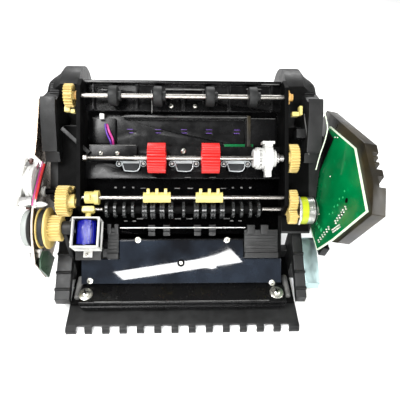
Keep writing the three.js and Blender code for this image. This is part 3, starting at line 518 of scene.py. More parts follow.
BLACK = plastic("black_plastic", (0.0022, 0.0022, 0.0024), rough=(0.18, 0.34), sheen=0.22)
# Near-black for dark parts, and painted shade: in screw recesses and holes, inside the solenoid frame, over
# part of the board and over the floor beside the cheeks.
DARK_AND_SHADE = plastic("dark_and_painted_shade", (0.0012, 0.0012, 0.0012), rough=(0.5, 0.7), sheen=0.06)
TEXTURED = blotched(
    "textured_black", (0.0035, 0.0035, 0.0035), (0.013, 0.0135, 0.0135), (0.36, 0.55), 1500, 0.00014, 60,
    sheen=0.3,
)
# Light grey for small grey parts, and for thin bars and dots that are painted highlights on dark edges,
# ledges and the guide.
GREY_AND_HIGHLIGHT = blotched("grey_and_painted_highlight", (0.03, 0.03, 0.029), (0.11, 0.11, 0.105), (0.45, 0.65), 1600, 0.0001, 90)
GLOSS = blotched(
    "gloss_black", (0.0015, 0.002, 0.0035), (0.012, 0.017, 0.026), (0.02, 0.08), 60, 0.000004, 26
)
HOUSING = blotched(
    "smoked_housing", (0.003, 0.003, 0.003), (0.03, 0.022, 0.008), (0.25, 0.45), 900, 0.00003, 30, sheen=0.4
)
RUBBER = plastic(
    "black_rubber", (0.008, 0.0085, 0.0085), rough=(0.45, 0.65), grain=1100, depth=0.00006, sheen=0.3
)
RED = plastic(
    "red_rubber", (0.56, 0.008, 0.006), rough=(0.35, 0.55), grain=800, depth=0.00004, contrast=0.12
)
CREAM = plastic("cream_acetal", (0.50, 0.375, 0.125), rough=(0.32, 0.48), contrast=0.12)
PALE = plastic("pale_acetal", (0.52, 0.44, 0.14), rough=(0.32, 0.46), contrast=0.10)
TAN = plastic("tan_bush", (0.40, 0.23, 0.06), rough=(0.35, 0.5), contrast=0.15)
WHITE = plastic("white_plastic", (0.49, 0.49, 0.47), rough=(0.3, 0.45), contrast=0.06)
GREY = plastic("grey_plastic", (0.27, 0.29, 0.275), rough=(0.35, 0.5), contrast=0.08)
STEEL = metal("shaft_steel", (0.40, 0.38, 0.35), rough=(0.22, 0.36), stretch=(0.3, 5, 5), dark=0.65)
SHEET = metal("sheet_steel", (0.60, 0.59, 0.57), rough=(0.25, 0.4))
SCREW = metal("screw_steel", (0.70, 0.69, 0.62), rough=(0.22, 0.4), scale=900)
PLATE = metal("side_plate_steel", (0.34, 0.27, 0.21), rough=(0.22, 0.38), scale=300, dark=0.45)
ZINC = metal("zinc_steel", (0.38, 0.50, 0.50), rough=(0.3, 0.45), scale=160, dark=0.85)
BOARD = circuit_board("board_green")
PALE_EDGE = plastic("pale_edge", (0.50, 0.45, 0.40), rough=(0.4, 0.6), contrast=0.2)
LAMINATE = plastic("bare_laminate", (0.62, 0.72, 0.55), rough=(0.5, 0.7), contrast=0.1)
COIL = wound("coil_blue", (0.002, 0.002, 0.07), (0.004, 0.008, 0.30), 260.0)
PINK = plastic("lead_pink", (0.36, 0.02, 0.17), rough=(0.35, 0.5))
VIOLET = plastic("lead_violet", (0.10, 0.03, 0.28), rough=(0.35, 0.5))
LEAD_RED = plastic("lead_red", (0.34, 0.02, 0.02), rough=(0.35, 0.5))
LABEL = plastic("label_yellow", (0.36, 0.42, 0.008), rough=(0.25, 0.4), contrast=0.12)
STRAP = blotched("weathered_strap", (0.16, 0.15, 0.12), (0.42, 0.42, 0.40), (0.4, 0.6), 700, 0.00006, 70)
DULL_GREEN = blotched(
    "dull_board", (0.015, 0.045, 0.025), (0.05, 0.08, 0.05), (0.25, 0.4), 600, 0.00003, 120
)
RIB_GREY = plastic("rib_rubber", (0.012, 0.013, 0.013), rough=(0.16, 0.28), grain=1100, depth=0.00006)
DARK_RED = plastic("plug_maroon", (0.05, 0.012, 0.008), rough=(0.3, 0.5))
BOARD_LIGHT = plastic("board_markings", (0.02, 0.35, 0.12), rough=(0.3, 0.5))
CLEAR = plastic("clear_plastic", (0.40, 0.43, 0.44), rough=(0.04, 0.1), contrast=0.3)
SMOKED = plastic("lens_inside", (0.03, 0.032, 0.034), rough=(0.05, 0.12), contrast=0.4)
FLOOR = plastic("floor", (0.90, 0.90, 0.90), rough=(0.6, 0.8), grain=30, contrast=0.01, sheen=0.1)

BY_SLOT = {
    "black_plastic": BLACK, "textured_black": TEXTURED, "gloss_black": GLOSS, "black_rubber": RUBBER,
    "red_rubber": RED, "cream_acetal": CREAM, "pale_acetal": PALE, "white_plastic": WHITE,
    "grey_plastic": GREY, "clear_plastic": CLEAR, "shaft_steel": STEEL, "sheet_steel": SHEET,
    "zinc_steel": ZINC, "board_green": BOARD, "coil_blue": COIL, "lead_pink": PINK, "lead_red": LEAD_RED,
}


def floor():
    bm = bmesh.new()
    bmesh.ops.create_grid(bm, x_segments=2, y_segments=2, size=4)
    mesh = bpy.data.meshes.new("floor")
    bm.to_mesh(mesh)
    bm.free()
    mesh.materials.append(FLOOR)
    plane = bpy.data.objects.new("floor", mesh)
    bpy.context.scene.collection.objects.link(plane)


floor()


# ---- frame, cheeks, guides -----------------------------------
def plain_shells():
    """CAD pieces whose shape is already right: whole faces, rounded edges."""
    for node, bevel in {
        "base_tray": 0.8, "left_cheek": 1.0, "right_cheek": 1.0, "front_housing": 0.9, "comb_guide": 0.5,
        "left_rail": 0.7, "right_rail": 0.7, "left_guide_block": 0.3, "right_guide_block": 0.3,
        "top_guide": 0.5, "guide_plate": 0.4, "screw_bracket": 0.35, "cover_plate": 0.5, "supply_box": 0.4,
        "clutch_strap": 0.5, "left_gate_fingers": 0.4, "right_gate_fingers": 0.4, "gate_cam": 0.4,
        "solenoid_plunger": 0.4,
    }.items():
        refined(node, BY_SLOT[SLOT[node]], bevel)
    refined("sensor_panel", BLACK, 0.4)
    refined("left_side_plate", PLATE, 0.3)
    refined("solenoid_frame", WHITE, 0.35)
    refined("left_side_frame", DARK_AND_SHADE, 0.5)
    refined("right_side_frame", DARK_AND_SHADE, 0.5)
    refined("sensor_board", DULL_GREEN, 0.1)


def bars(name, spots, material, bevel=0.2, place=DECK):
    """Several blocks as one piece, each as (x0, x1, up0, up1, out0, out1)."""
    new_piece(name, merge(*[box(*spot) for spot in spots]), material, place=place, bevel=bevel)


def cheek_trim():
    for side, name in ((-1, "left"), (1, "right")):
        ribs = []
        for i in range(8):
            up = 166.5 + 1.9 * i
            ribs.append(shift(box(-4.5, 4.5, up, up + 0.9, 40, 54.5 - 0.75 * i), side * 122.5))
        new_piece(f"{name}_cheek_ribs", merge(*ribs), TEXTURED, bevel=0.15)
        # Thin grey bars on each cheek's rim, painted highlights.
        lights = [(104.5, 119.5, 188.4, 189.4, 34, 42.5), (105, 118.5, 184.4, 185.3, 38, 46.5)]
        spots = [(*sorted((side * x0, side * x1)), *rest) for x0, x1, *rest in lights]
        bars(f"{name}_cheek_highlights", spots, GREY_AND_HIGHLIGHT)
        low, high = sorted((side * 116.8, side * 130.8))
        face = [(113, 52.5), (162, 67.5), (161.5, 69.6), (148, 69.4), (112, 62.5)]
        new_piece(f"{name}_cheek_front", extrude_x(face, low, high), TEXTURED, bevel=1.2)


def wing_shade_sheets():
    """Dull dark sheets over the floor between each wall and its cheek: painted shade for the deep shade
    there.
    """
    left = box(-121.8, -97.6, 27, 139, 43.1, 43.7)
    right = box(97.6, 124.5, 36, 139, 43.1, 43.7)
    new_piece("wing_shade_sheets", merge(left, right), DARK_AND_SHADE)
    edge = [(38, 107), (14, 103), (-9, 98), (-29, 84), (-44, 59)]
    rim = tube_bm([(-134, y, z) for y, z in edge], 0.95, 10)
    new_piece("side_plate_rim", rim, PALE_EDGE, place=WORLD)
    sleeve = lathe([(-130.6, 3), (-114.4, 3)], axis_of("left_motor_pinion"), 24)
    new_piece("pinion_sleeve", sleeve, DARK_AND_SHADE, body="left_pinion")


def top_region():
    up, out = axis_of("top_shaft")
    low, high = deck_box("top_shaft")
    radius = (high[1] - low[1]) / 2
    ends = [(0, radius - 0.4), (0.4, radius)]
    steps = [(low[0] + a, r) for a, r in ends] + [(high[0] - a, r) for a, r in reversed(ends)]
    new_piece("top_shaft_rod", lathe(steps, (up, out), 40), STEEL, nodes=("top_shaft",), sharp=30)
    for node in ("left_outer", "left_inner", "right_inner", "right_outer"):
        node = f"{node}_top_roller"
        first, last = deck_box(node)
        x0, x1, big = first[0], last[0], (last[1] - first[1]) / 2
        edge = [(0, big - 1.2), (0.5, big - 0.3), (1.2, big)]
        tyre = [(x0 + a, r) for a, r in edge] + [(x1 - a, r) for a, r in reversed(edge)]
        hub = lathe([(x1 - 0.5, 4.5), (x1 + 2.6, 4.5), (x1 + 3, 4.1)], (up, out), 36, bore=radius + 0.1)
        bm = merge(lathe(tyre, (up, out), 64, bore=radius + 0.1), hub)
        new_piece(f"{node}_tyre", bm, RUBBER, nodes=(node,), sharp=30)
    first, last = deck_box("top_gear")
    x0, x1 = first[0], last[0]
    gear = toothed(22, 0, x0, x1, (up, out))
    hub = lathe([(x0 - 0.4, 4.2), (x1 + 0.6, 4.2)], (up, out), 36)
    new_piece("top_gear_teeth", merge(gear, hub), CREAM, nodes=("top_gear",), bevel=0.12, segments=1)
    bush = [(-98.9, 3.6), (-98.6, 4.4), (-97.6, 4.4), (-97.4, 3.6)]
    left = lathe([(-101, 3.4), *bush], (up, out), 36, bore=radius + 0.1)
    right = merge(
        lathe([(97.3, 4.8), (99.4, 4.8), (99.6, 3.4), (102, 3.4)], (up, out), 8, bore=radius + 0.1),
        box(97.3, 99, up - 6.2, up + 6.2, out - 1.6, out + 1.6),
    )
    new_piece("top_bushes", merge(left, right), TAN, bevel=0.2)


def top_trim():
    """The small pieces round the top shaft: cream links, screws, the latch's wire, carriers and rails."""
    bits = [
        (-109.5, -104.5, 148.6, 153.4, 60, 66), (-104, -100, 147.5, 151, 60, 65.5),
        (102, 108.4, 146, 150, 60, 66.5), (108.8, 111.6, 147, 155.5, 60, 67),
    ]
    bars("link_pieces", bits, PALE, bevel=0.6)
    screws("top_guide_screws", [(-12, 157, 54), (11, 157, 54)], 2.2, 1.4)
    wire = tube_bm([(-29.4, 166.5, 61), (-29.4, 160, 64), (-29.5, 148.8, 62)], 0.35, 8)
    new_piece("latch_wire", wire, SHEET)
    carriers = []
    for x in (-23.6, 24.6):
        carriers += [(x + a, x + a + 1, 158, 170, 54, 62) for a in (-6.6, 6.4)]
    bars("roller_carriers", carriers, BLACK, bevel=0.3)
    rails = [
        (-89, -70, 177.4, 178.2, 59.5, 60.6), (74, 91, 176.6, 177.4, 59.5, 60.6),
        (-17, 20, 171.4, 172.6, 57, 58.4), (-78, -70, 170.6, 171.4, 57.2, 58),
        (60, 74, 172.5, 173.3, 57.5, 58.4),
    ]
    bars("top_rails", rails, GREY_AND_HIGHLIGHT, bevel=0.2)


def panel_region():
    """The sensor panel between the two upper shafts, with its windows, lead, and painted highlights along
    its edges.
    """
    # Thin grey lines along the panel's edges, painted highlights.
    lines = [
        (-60, 62, 147.4, 148.1, 48.6, 49.3), (-88, -81.9, 146.4, 146.9, 45.4, 46),
        (-76, -66.5, 146.4, 146.9, 45.4, 46), (66, 90, 146.5, 147.2, 47, 48),
    ]
    bars("panel_edge_highlights", lines, GREY_AND_HIGHLIGHT, bevel=0.15)
    blocks = [(-88, -66, 122, 146.6, 41.5, 45.6), (66, 90, 120, 146.6, 41.5, 47.2)]
    bars("panel_box", blocks, BLACK, bevel=0.6)
    section = [(118, 42), (149.2, 42), (149.2, 49.6), (118, 49.6)]
    new_piece("panel_bar", extrude_x(section, 61.8, 65.4), HOUSING, bevel=0.6)
    windows = []
    for x in (-52.5, -25.1, 0.5, 25.2, 53):
        windows += [(x - 3, x + 3, 133.2, 133.7, 40.4, 41.2), (x - 3, x + 3, 136.4, 136.8, 41.7, 42.2)]
    bars("window_rims", windows, VIOLET, bevel=0.12)
    bars("lead_connector", [(-80.6, -76.6, 145, 150.4, 45, 50)], WHITE, bevel=0.4)
    bars("green_sensor_board", [(39.7, 68.3, 112.8, 121.8, 46.6, 47.4)], BOARD, bevel=0.15)
    strut = extrude_x([(110, 58), (113.5, 58), (113.5, 61), (110, 61)], 0, 34)
    place = DECK @ Matrix.Translation((-88, 0, 0)) @ strut_turn()
    new_piece("strut", strut, TEXTURED, place=place, bevel=0.4)


def strut_turn():
    """Slants the strut from the bracket up to the left cheek."""
    pivot = Vector((0, 111.5, 59))
    turn = Matrix.Rotation(math.radians(138), 4, "Z")
    return Matrix.Translation(pivot) @ turn @ Matrix.Translation(-pivot)


def feed_shaft_and_rollers():
    up, out = axis_of("feed_shaft")
    shaft = [(-88.6, 1.5), (-88.2, 1.7), (-46.2, 1.7), (-45.8, 2.2), (106.6, 2.2), (107, 1.9)]
    hexagon = lathe([(-92, 3), (-91.7, 3.3), (-88.8, 3.3), (-88.5, 3)], (up, out), 6)
    rod = merge(lathe(shaft, (up, out), 40), hexagon)
    new_piece("feed_shaft_rod", rod, STEEL, nodes=("feed_shaft",), sharp=30)
    grooves, big = 30, 14
    groove = ((-0.5, big - 1.5), (-0.3, big - 0.4), (-0.16, big), (0.16, big), (0.3, big - 0.4))
    for node in ("left_feed_roller", "right_feed_roller"):
        low, high = deck_box(node)
        outline = []
        for i in range(grooves):
            for part, radius in groove:
                angle = math.tau * (i + part) / grooves
                outline.append((radius * math.cos(angle), radius * math.sin(angle)))
        tyre = shift(extrude_x(outline, low[0], high[0]), 0, up, out)
        hub = lathe([(low[0] - 0.5, 7), (high[0] + 0.5, 7)], (up, out), 40)
        new_piece(f"{node}_tyre", merge(tyre, hub), RED, nodes=(node,), bevel=0.22, segments=2)


def feed_clutch_and_gear():
    up, out = axis_of("feed_shaft")
    clutch = [
        (64.3, 7.6), (64.8, 8.4), (66.8, 8.4), (67, 10), (69.5, 10.2), (69.6, 7), (71.8, 7), (72, 9.6),
        (73.6, 10), (82.4, 10), (83, 8), (85.3, 8), (85.6, 7.6),
    ]
    fins = []
    for i in range(12):
        fin = box(-0.6, 0.6, 6, 10.1, 69.5, 72.1)
        fins.append(turn_to(moved(fin, Matrix.Rotation(math.tau * i / 12, 4, "Z")), (0, 0, 1), (1, 0, 0)))
    drum = merge(lathe(clutch, (up, out), 48, bore=2.4), shift(merge(*fins), 0, up, out))
    new_piece("feed_clutch_body", drum, WHITE, nodes=("feed_clutch",), sharp=30)
    collar = merge(
        lathe([(86.2, 4.6), (86.6, 5), (88.4, 5), (88.8, 4.6)], (up, out), 36, bore=2.2),
        lathe([(90, 3.6), (92.8, 3.6)], (up, out), 36, bore=2.2),
    )
    new_piece("feed_collar", collar, SHEET, body="feed_set", sharp=30)
    gear = toothed(28, 0, 97.6, 106, (up, out))
    boss = lathe([(97.3, 6), (106.4, 6), (106.6, 5.6)], (up, out), 36, bore=2.5)
    new_piece("feed_gear_teeth", merge(gear, boss), CREAM, nodes=("feed_gear",), bevel=0.14, segments=1)


def panel_screws_and_lenses():
    screws("bracket_screws", [(-78.1, 111.4, 57.4), (-62.6, 111.5, 57.4)], 2.1, 1.2)
    screws("guide_screw", [(0, 114.2, 52.5)], 2.8, 2.2)
    # A thin grey line along the bracket's edge, a painted highlight.
    bars("bracket_edge_highlight", [(-88.5, -45, 118.6, 119.2, 57, 57.8)], GREY_AND_HIGHLIGHT, bevel=0.2)
    for node in ("left_lens", "centre_lens", "right_lens"):
        lens_parts(node)


def lens_parts(node):
    """A clear trapezoid with a bright upper edge, between two screw ears."""
    low, high = deck_box(node)
    x, up, face = (low[0] + high[0]) / 2, (low[1] + high[1]) / 2, high[2]
    top, bottom, half = 8.8, 6.2, 4.6
    corners = [
        (-bottom, -half), (bottom, -half), (top, half - 1), (top, half), (-top, half), (-top, half - 1),
    ]
    bm = bmesh.new()
    lower = [bm.verts.new((x + a, up + b, face - 1.2)) for a, b in corners]
    upper = [bm.verts.new((x + a * 0.92, up + b * 0.92, face + 0.8)) for a, b in corners]
    bm.faces.new(lower)
    bm.faces.new(upper)
    for i in range(len(corners)):
        j = (i + 1) % len(corners)
        bm.faces.new((lower[i], lower[j], upper[j], upper[i]))
    new_piece(f"{node}_inside", bm, SMOKED, nodes=(node,), bevel=0.3)
    rim = tube_bm([(x + a, up + b, face + 0.6) for a, b in corners + corners[:1]], 0.5, 8, rounds=3)
    ears = [shift(cone_ring(2.6, 0.4), x + side * 11.6, up + 2.2, 52.7) for side in (-1, 1)]
    shelf = box(x - 7.8, x + 7.8, up + 2.4, up + 4.4, face + 0.7, face + 1.2)
    new_piece(f"{node}_rim", merge(rim, shelf, *ears), CLEAR)
    holes = [disc(1.3, 52.3, 52.8, x + side * 11.6, up + 2.2) for side in (-1, 1)]
    new_piece(f"{node}_ear_screws", merge(*holes), SHEET)


# ---- gate, rib roller, solenoid ------------------------------
def rod_piece(node, radius, material=STEEL):
    """A shaft with chamfered ends, as long as its CAD node."""
    low, high = deck_box(node)
    ends = [(0, radius - 0.3), (0.3, radius)]
    steps = [(low[0] + a, r) for a, r in ends] + [(high[0] - a, r) for a, r in reversed(ends)]
    new_piece(f"{node}_rod", lathe(steps, axis_of(node), 40), material, nodes=(node,), sharp=30)


def rib_region():
    rod_piece("gate_shaft", 1.75)
    rod_piece("rib_shaft", 2.0)
    up, out = axis_of("rib_shaft")
    narrow = (-72, -64.2, -55.6, -47.6, 0, 47, 55, 63.4, 71.4)
    wide = (-36.4, -28.8, -20, -11.9, 12, 19.4, 27.8, 36.4)
    discs = []
    for x in narrow:
        steps = [(x - 1.5, 4), (x - 1.5, 7.8), (x - 1.1, 8.2), (x + 1.1, 8.2), (x + 1.5, 7.8), (x + 1.5, 4)]
        discs.append(lathe(steps, (up, out), 48))
    for x in wide:
        first = [(x - 2.4, 4), (x - 2.4, 9.1), (x - 2, 9.5), (x - 0.5, 9.5), (x - 0.4, 8)]
        second = [(x + 0.4, 8), (x + 0.5, 9.5), (x + 2, 9.5), (x + 2.4, 9.1), (x + 2.4, 4)]
        discs.append(lathe(first + second, (up, out), 48))
    sleeve = lathe([(-76, 3.6), (-75.4, 4.4), (74.4, 4.4), (75, 3.6)], (up, out), 32)
    new_piece("rib_discs", merge(*discs), RIB_GREY, nodes=("rib_roller",), sharp=30)
    new_piece("rib_sleeve", sleeve, DARK_AND_SHADE, body="rib_set")
    guide_and_cover_marks()


def guide_and_cover_marks():
    """Painted highlight dots and lines on the guide, rests round the ribbed roller, its tie rod and clips,
    and what stands on the cover.
    """
    # Grey dots and short lines on the guide, painted highlights at its slot edges.
    highlight_spots = [(x - 1, x + 1, 78.4, 79.8, 52.2, 53.4) for x in (-64.8, -56.6, -48, 47.6, 56, 64.4)]
    highlight_spots += [(x - 3, x + 3, 88.6, 89.1, 52.4, 53) for x in (-29, 4, 28)]
    highlight_spots += [(x - 2.6, x + 2.6, 78, 78.8, 52.2, 53) for x in (-38.5, -6, 6.5, 38.5)]
    bars("guide_highlights", highlight_spots, GREY_AND_HIGHLIGHT, bevel=0.2)
    rests = [(x - 1.6, x + 1.6, 46.4, 47.4, 48, 50) for x in (-55.6, -47.6, 47, 55)]
    rests += [(x - 3, x + 3, 48.6, 49.6, 48, 50) for x in (-5.4, 5.6, -42, 42)]
    bars("roller_rests", rests, GREY_AND_HIGHLIGHT, bevel=0.25)
    new_piece("tie_rod", lathe([(-61, 0.6), (60, 0.6)], (40.4, 50), 16), SHEET)
    clips = []
    for x in (-30.8, -16.4, 13.5, 28.1):
        clips.append(box(x - 3.3, x + 3.3, 37.4, 43, 46, 50.4))
        clips.append(box(x - 3.3, x + 3.3, 32.4, 36.6, 46, 49))
    new_piece("rod_clips", merge(*clips), TEXTURED, bevel=0.6)
    cover_fork("left_fork", -73.2, -62.4, 44)
    cover_fork("right_fork", 61.9, 82.6, 43)
    spots = [(-44.2, 28.4, 47.2), (42.5, 28, 47.2), (-90.3, -11, 47.2), (86.9, -14.2, 47.2)]
    screws("cover_screws", spots, 2.2, 1.4, washer=2.8)
    # A thin dark disc on the cover: painted shade for the screw hole round the middle screw.
    new_piece("cover_hole", shift(disc(3.6, 0, 0.25), -2.5, 5.8, 47.1), DARK_AND_SHADE)
    screws("cover_middle_screw", [(-2.5, 5.8, 47.1)], 1.9, 0.5)


def cover_fork(name, x0, x1, top):
    """Two prongs with a dark slot between them, above a guide block."""
    middle, wide = (x0 + x1) / 2, (x1 - x0) / 2
    gap = 0.28 * wide
    prongs = [(a, b, top - 9, top, 45, 51.4) for a, b in ((x0, middle - gap), (middle + gap, x1))]
    bars(name, prongs, TEXTURED, bevel=0.8)


SOLENOID = DECK @ Matrix.Translation((-88.6, 36, 67)) @ Matrix.Rotation(-0.3, 4, "X")


def solenoid_region():
    steps = [
        (-12, 8.5), (-11.6, 8.9), (-6, 8.75), (-5.4, 8.95), (2, 8.8), (2.6, 8.95), (11.6, 8.9), (12, 8.5),
    ]
    coil = turn_to(lathe(steps, sides=56), (1, 0, 0), (0, 1, 0))
    new_piece("coil_winding", coil, COIL, nodes=("solenoid_coil",), place=SOLENOID, sharp=50)
    ends = merge(box(-9, 9, -12.3, -11, -8.6, 8.8), box(-9, 9, 11, 12.3, -8.6, 8.8))
    new_piece("coil_flanges", ends, DARK_AND_SHADE, place=SOLENOID, bevel=0.4)
    flap = merge(box(-1, 5.4, -11, 10.8, 8.3, 9.1), box(3.8, 4.6, -10, 11, 9, 9.3))
    new_piece("coil_tape_flap", flap, COIL, place=SOLENOID, bevel=0.35)
    # Dark sheets inside the white frame's back and sides, painted shade for the frame's shadowed inside.
    frame_shade = merge(
        box(-10.8, 10.8, -12.4, 12.4, -8.9, -8.5), box(-10.9, -10.5, -12.4, 12.4, -8.8, 4.6),
        box(10.5, 10.9, -12.4, 12.4, -8.8, 4.6),
    )
    new_piece("coil_frame_shade", frame_shade, DARK_AND_SHADE, place=SOLENOID)
    screws("foot_screw", [(0, -17.4, -9)], 2.6, 1.8, place=SOLENOID)
    hook = [
        (-104.6, 50, 62), (-105, 42, 64), (-104.4, 36.5, 66), (-101.6, 35, 67.5), (-99.4, 37.5, 68),
        (-99.8, 44, 68),
    ]
    new_piece("return_spring_hook", tube_bm(hook, 0.5, 10), WHITE)
    arm = [(-99.6, 46, 68), (-101.5, 37, 69), (-103.6, 28, 70)]
    new_piece("return_spring_arm", tube_bm(arm, 0.45, 10), WHITE)
    bars("spring_post", [(-106, -103.2, 26.6, 31.4, 44, 64)], TEXTURED, bevel=0.7)


# ---- left drive ----------------------------------------------
# Where the layers of the two drives lie across the machine, and their tooth counts.
DRIVE_X = (-114, -104)
COMPOUND_X = (-122, -110.5)
BELT_X = (-128.9, -123.9)
DRIVE_TEETH = 30
COMPOUND_TEETH = 25
LEFT_PINION_TEETH = 10
LEFT_CAN = (82, 60)
RIGHT_X = (97.8, 105.4)
IDLER_TEETH = 20
RIGHT_PINION_TEETH = 14
RIB_TEETH = 12
RIGHT_MOTOR = (57.2, 59)


def left_gears():
    nodes = ("drive_gear", "compound_gear", "left_motor_pinion")
    drive, compound, pinion = (axis_of(node) for node in nodes)
    teeth = toothed(DRIVE_TEETH, 0, *DRIVE_X, drive, wall=2.2, web=2.8)
    hub = lathe([(-112, 6.4), (-99.2, 6.4), (-98.8, 6), (-98.8, 3), (-97.4, 3)], drive, 40)
    spokes = [shift(turn_spoke(i, 6), 0, *drive) for i in range(6)]
    whole = merge(teeth, hub, *spokes)
    new_piece("drive_gear_teeth", whole, CREAM, nodes=("drive_gear",), bevel=0.14, segments=1)
    tooth = meshed_tooth(0, DRIVE_TEETH, COMPOUND_TEETH, direction(drive, compound))
    teeth = toothed(COMPOUND_TEETH, tooth, *COMPOUND_X, compound, wall=2.4, web=1.2)
    first, last = BELT_X
    side = [(first - 1, 12), (first - 0.8, 18.4), (first - 0.5, 18.6), (first - 0.1, 18.4)]
    pulley = [*side, (first, 14), (last, 14)]
    flange = [(-123.4, 18.6), (-123, 19), (-121.9, 19), (-121.5, 18.6), (-121.5, 8)]
    core = [(-143, 3), (first - 1, 3), *pulley, *flange, (-110.6, 8), (-110.6, 3), (-102.6, 3)]
    whole = merge(teeth, lathe(core, compound, 72))
    new_piece("compound_teeth", whole, CREAM, nodes=("compound_gear",), bevel=0.12, segments=1)
    tooth = meshed_tooth(0, DRIVE_TEETH, LEFT_PINION_TEETH, direction(drive, pinion))
    gear = shift(extrude_x(tooth_points(LEFT_PINION_TEETH, tooth), *DRIVE_X), 0, *pinion)
    whole = merge(gear, lathe([(-132, 1.2), (-113, 1.2)], pinion, 20))
    new_piece("left_pinion_teeth", whole, CREAM, nodes=("left_motor_pinion",), bevel=0.1, segments=1)


def knob_and_belt():
    compound = axis_of("compound_gear")
    knob = [
        (-144.4, 10), (-144.3, 12.4), (-143.7, 14.8), (-142.5, 16.4), (-141, 16.9), (-138.2, 17),
        (-137.8, 16.6),
    ]
    new_piece("knob_disc", lathe(knob, compound, 72), GREY, nodes=("hand_knob",), sharp=30)
    ring = [(-137.9, 16.4), (-137.6, 16.9), (-136.6, 16.9), (-136.2, 16.2), (-135.4, 15.6)]
    new_piece("knob_ring", lathe(ring, compound, 72, bore=3.3), RUBBER, body="compound_set", sharp=30)
    refined("drive_belt", RUBBER, 0.2)
    pulley = [
        (-129.9, 9.4), (-129.5, 9.8), (-129.2, 9.8), (-129.1, 8), (-123.9, 8), (-123.8, 9.8), (-123.3, 9.8),
        (-123.1, 2.5), (-122.3, 2.5),
    ]
    body = lathe(pulley, axis_of("transfer_pulley"), 48)
    new_piece("transfer_pulley_body", body, CREAM, nodes=("transfer_pulley",), sharp=30)


def turn_spoke(index, count):
    """One of the ribs that join a gear's hub to its rim."""
    spoke = box(-105.4, -104.4, -0.7, 0.7, 6, 11.4)
    return moved(spoke, Matrix.Rotation(math.tau * index / count, 4, "X"))


def left_motor():
    can = [
        (-145.8, 12), (-142.2, 12), (-142.2, 16.6), (-141.4, 17.4), (-140.2, 17.6), (-138.6, 17.6),
        (-138.4, 17.1), (-137.2, 17.1), (-137, 17.6), (-135.6, 17.6), (-135.2, 17.2),
    ]
    boss = lathe([(-136, 5), (-131.4, 5), (-131, 4.6)], axis_of("left_motor_pinion"), 40, bore=1.5)
    whole = merge(lathe(can, LEFT_CAN, 80), boss)
    new_piece("motor_can", whole, WHITE, nodes=("left_motor",), sharp=30)
    strap = extrude_x([(106.6, 57), (61.3, 80), (60, 46), (93, 32)], -148, -145.4)
    new_piece("motor_strap", strap, STRAP, bevel=0.5)
    upper = extrude_x([(103, 60), (98, 66), (95, 62), (100, 55)], -145.6, -134.8)
    lower = extrude_x([(70, 77), (63, 80.5), (60.5, 76), (67, 70)], -145.6, -134.8)
    ears = merge(upper, lower)
    new_piece("motor_ears", ears, SHEET, bevel=0.6)
    plugs = merge(shift(box(-141, -137, 58.6, 65, 66, 75)), box(-142, -139.6, 101, 106, 58, 64))
    new_piece("motor_plug", plugs, DARK_RED, bevel=0.8)
    left_leads()
    tip = [(-131.6, 2.8), (-126, 2.6), (-123, 1.4), (-121.6, 0.5)]
    new_piece("standoff", lathe(tip, (63.2, 75), 32), WHITE, sharp=50)
    bars("standoff_foot", [(-133.4, -131, 60, 66.4, 71, 78)], WHITE, bevel=0.8)
    clips = [
        (-142.6, -136.6, 19, 22.2, 64, 69), (-141.4, -139.6, 14, 20, 64, 67),
        (-134, -130.8, 19, 22.2, 62, 67), (-133.4, -131.6, 13.9, 20, 62, 65),
    ]
    bars("board_clips", clips, WHITE, bevel=0.8)


def left_leads():
    """The motor's bundle of leads and the two that run to the sensor panel."""
    route = [
        (-133.2, 103, 53), (-132.9, 93, 61.5), (-132.8, 84, 68), (-132.9, 76, 73), (-133, 68, 78),
        (-133.2, 62, 80),
    ]
    for name, material, x, out in (
        ("pink", PINK, 0, 0.9), ("white", WHITE, 1.3, -1.6), ("black", RUBBER, 2.6, -2.6),
    ):
        points = [(a + x, b, c + out) for a, b, c in route]
        new_piece(f"motor_lead_{name}", tube_bm(points, 0.55, 10), material)
    refined("motor_lead", LEAD_RED, 0)
    refined("sensor_lead", PINK, 0)
    violet = [(-76, 141, 45), (-75.4, 138, 48), (-73.6, 131, 49.8), (-70.8, 124.5, 48.6), (-70, 120.4, 45)]
    new_piece("sensor_lead_violet", tube_bm(violet, 0.8, 10), VIOLET)


# ---- right side ----------------------------------------------
def right_drive():
    idler, pinion, rib = (axis_of(node) for node in ("right_idler_gear", "right_motor_pinion", "rib_gear"))
    last = RIGHT_X[1]
    gear = toothed(IDLER_TEETH, 0, *RIGHT_X, idler)
    journal = lathe([(last - 0.6, 3), (107.4, 3)], idler, 32)
    hub = lathe([(RIGHT_X[0], 3.6), (last, 3.6)], idler, 32)
    whole = merge(gear, journal, hub)
    new_piece("right_idler_teeth", whole, CREAM, nodes=("right_idler_gear",), bevel=0.12, segments=1)
    tooth = meshed_tooth(0, IDLER_TEETH, RIGHT_PINION_TEETH, direction(idler, pinion))
    gear = shift(extrude_x(tooth_points(RIGHT_PINION_TEETH, tooth), *RIGHT_X), 0, *pinion)
    whole = merge(gear, lathe([(last - 0.6, 1.5), (109.6, 1.5)], pinion, 24))
    new_piece("right_pinion_teeth", whole, CREAM, nodes=("right_motor_pinion",), bevel=0.12, segments=1)
    tooth = meshed_tooth(0, IDLER_TEETH, RIB_TEETH, direction(idler, rib))
    gear = extrude_x(tooth_points(RIB_TEETH, tooth), *RIGHT_X, [list(reversed(circle(2.3, 32)))])
    new_piece("rib_gear_teeth", shift(gear, 0, *rib), CREAM, nodes=("rib_gear",), bevel=0.12, segments=1)


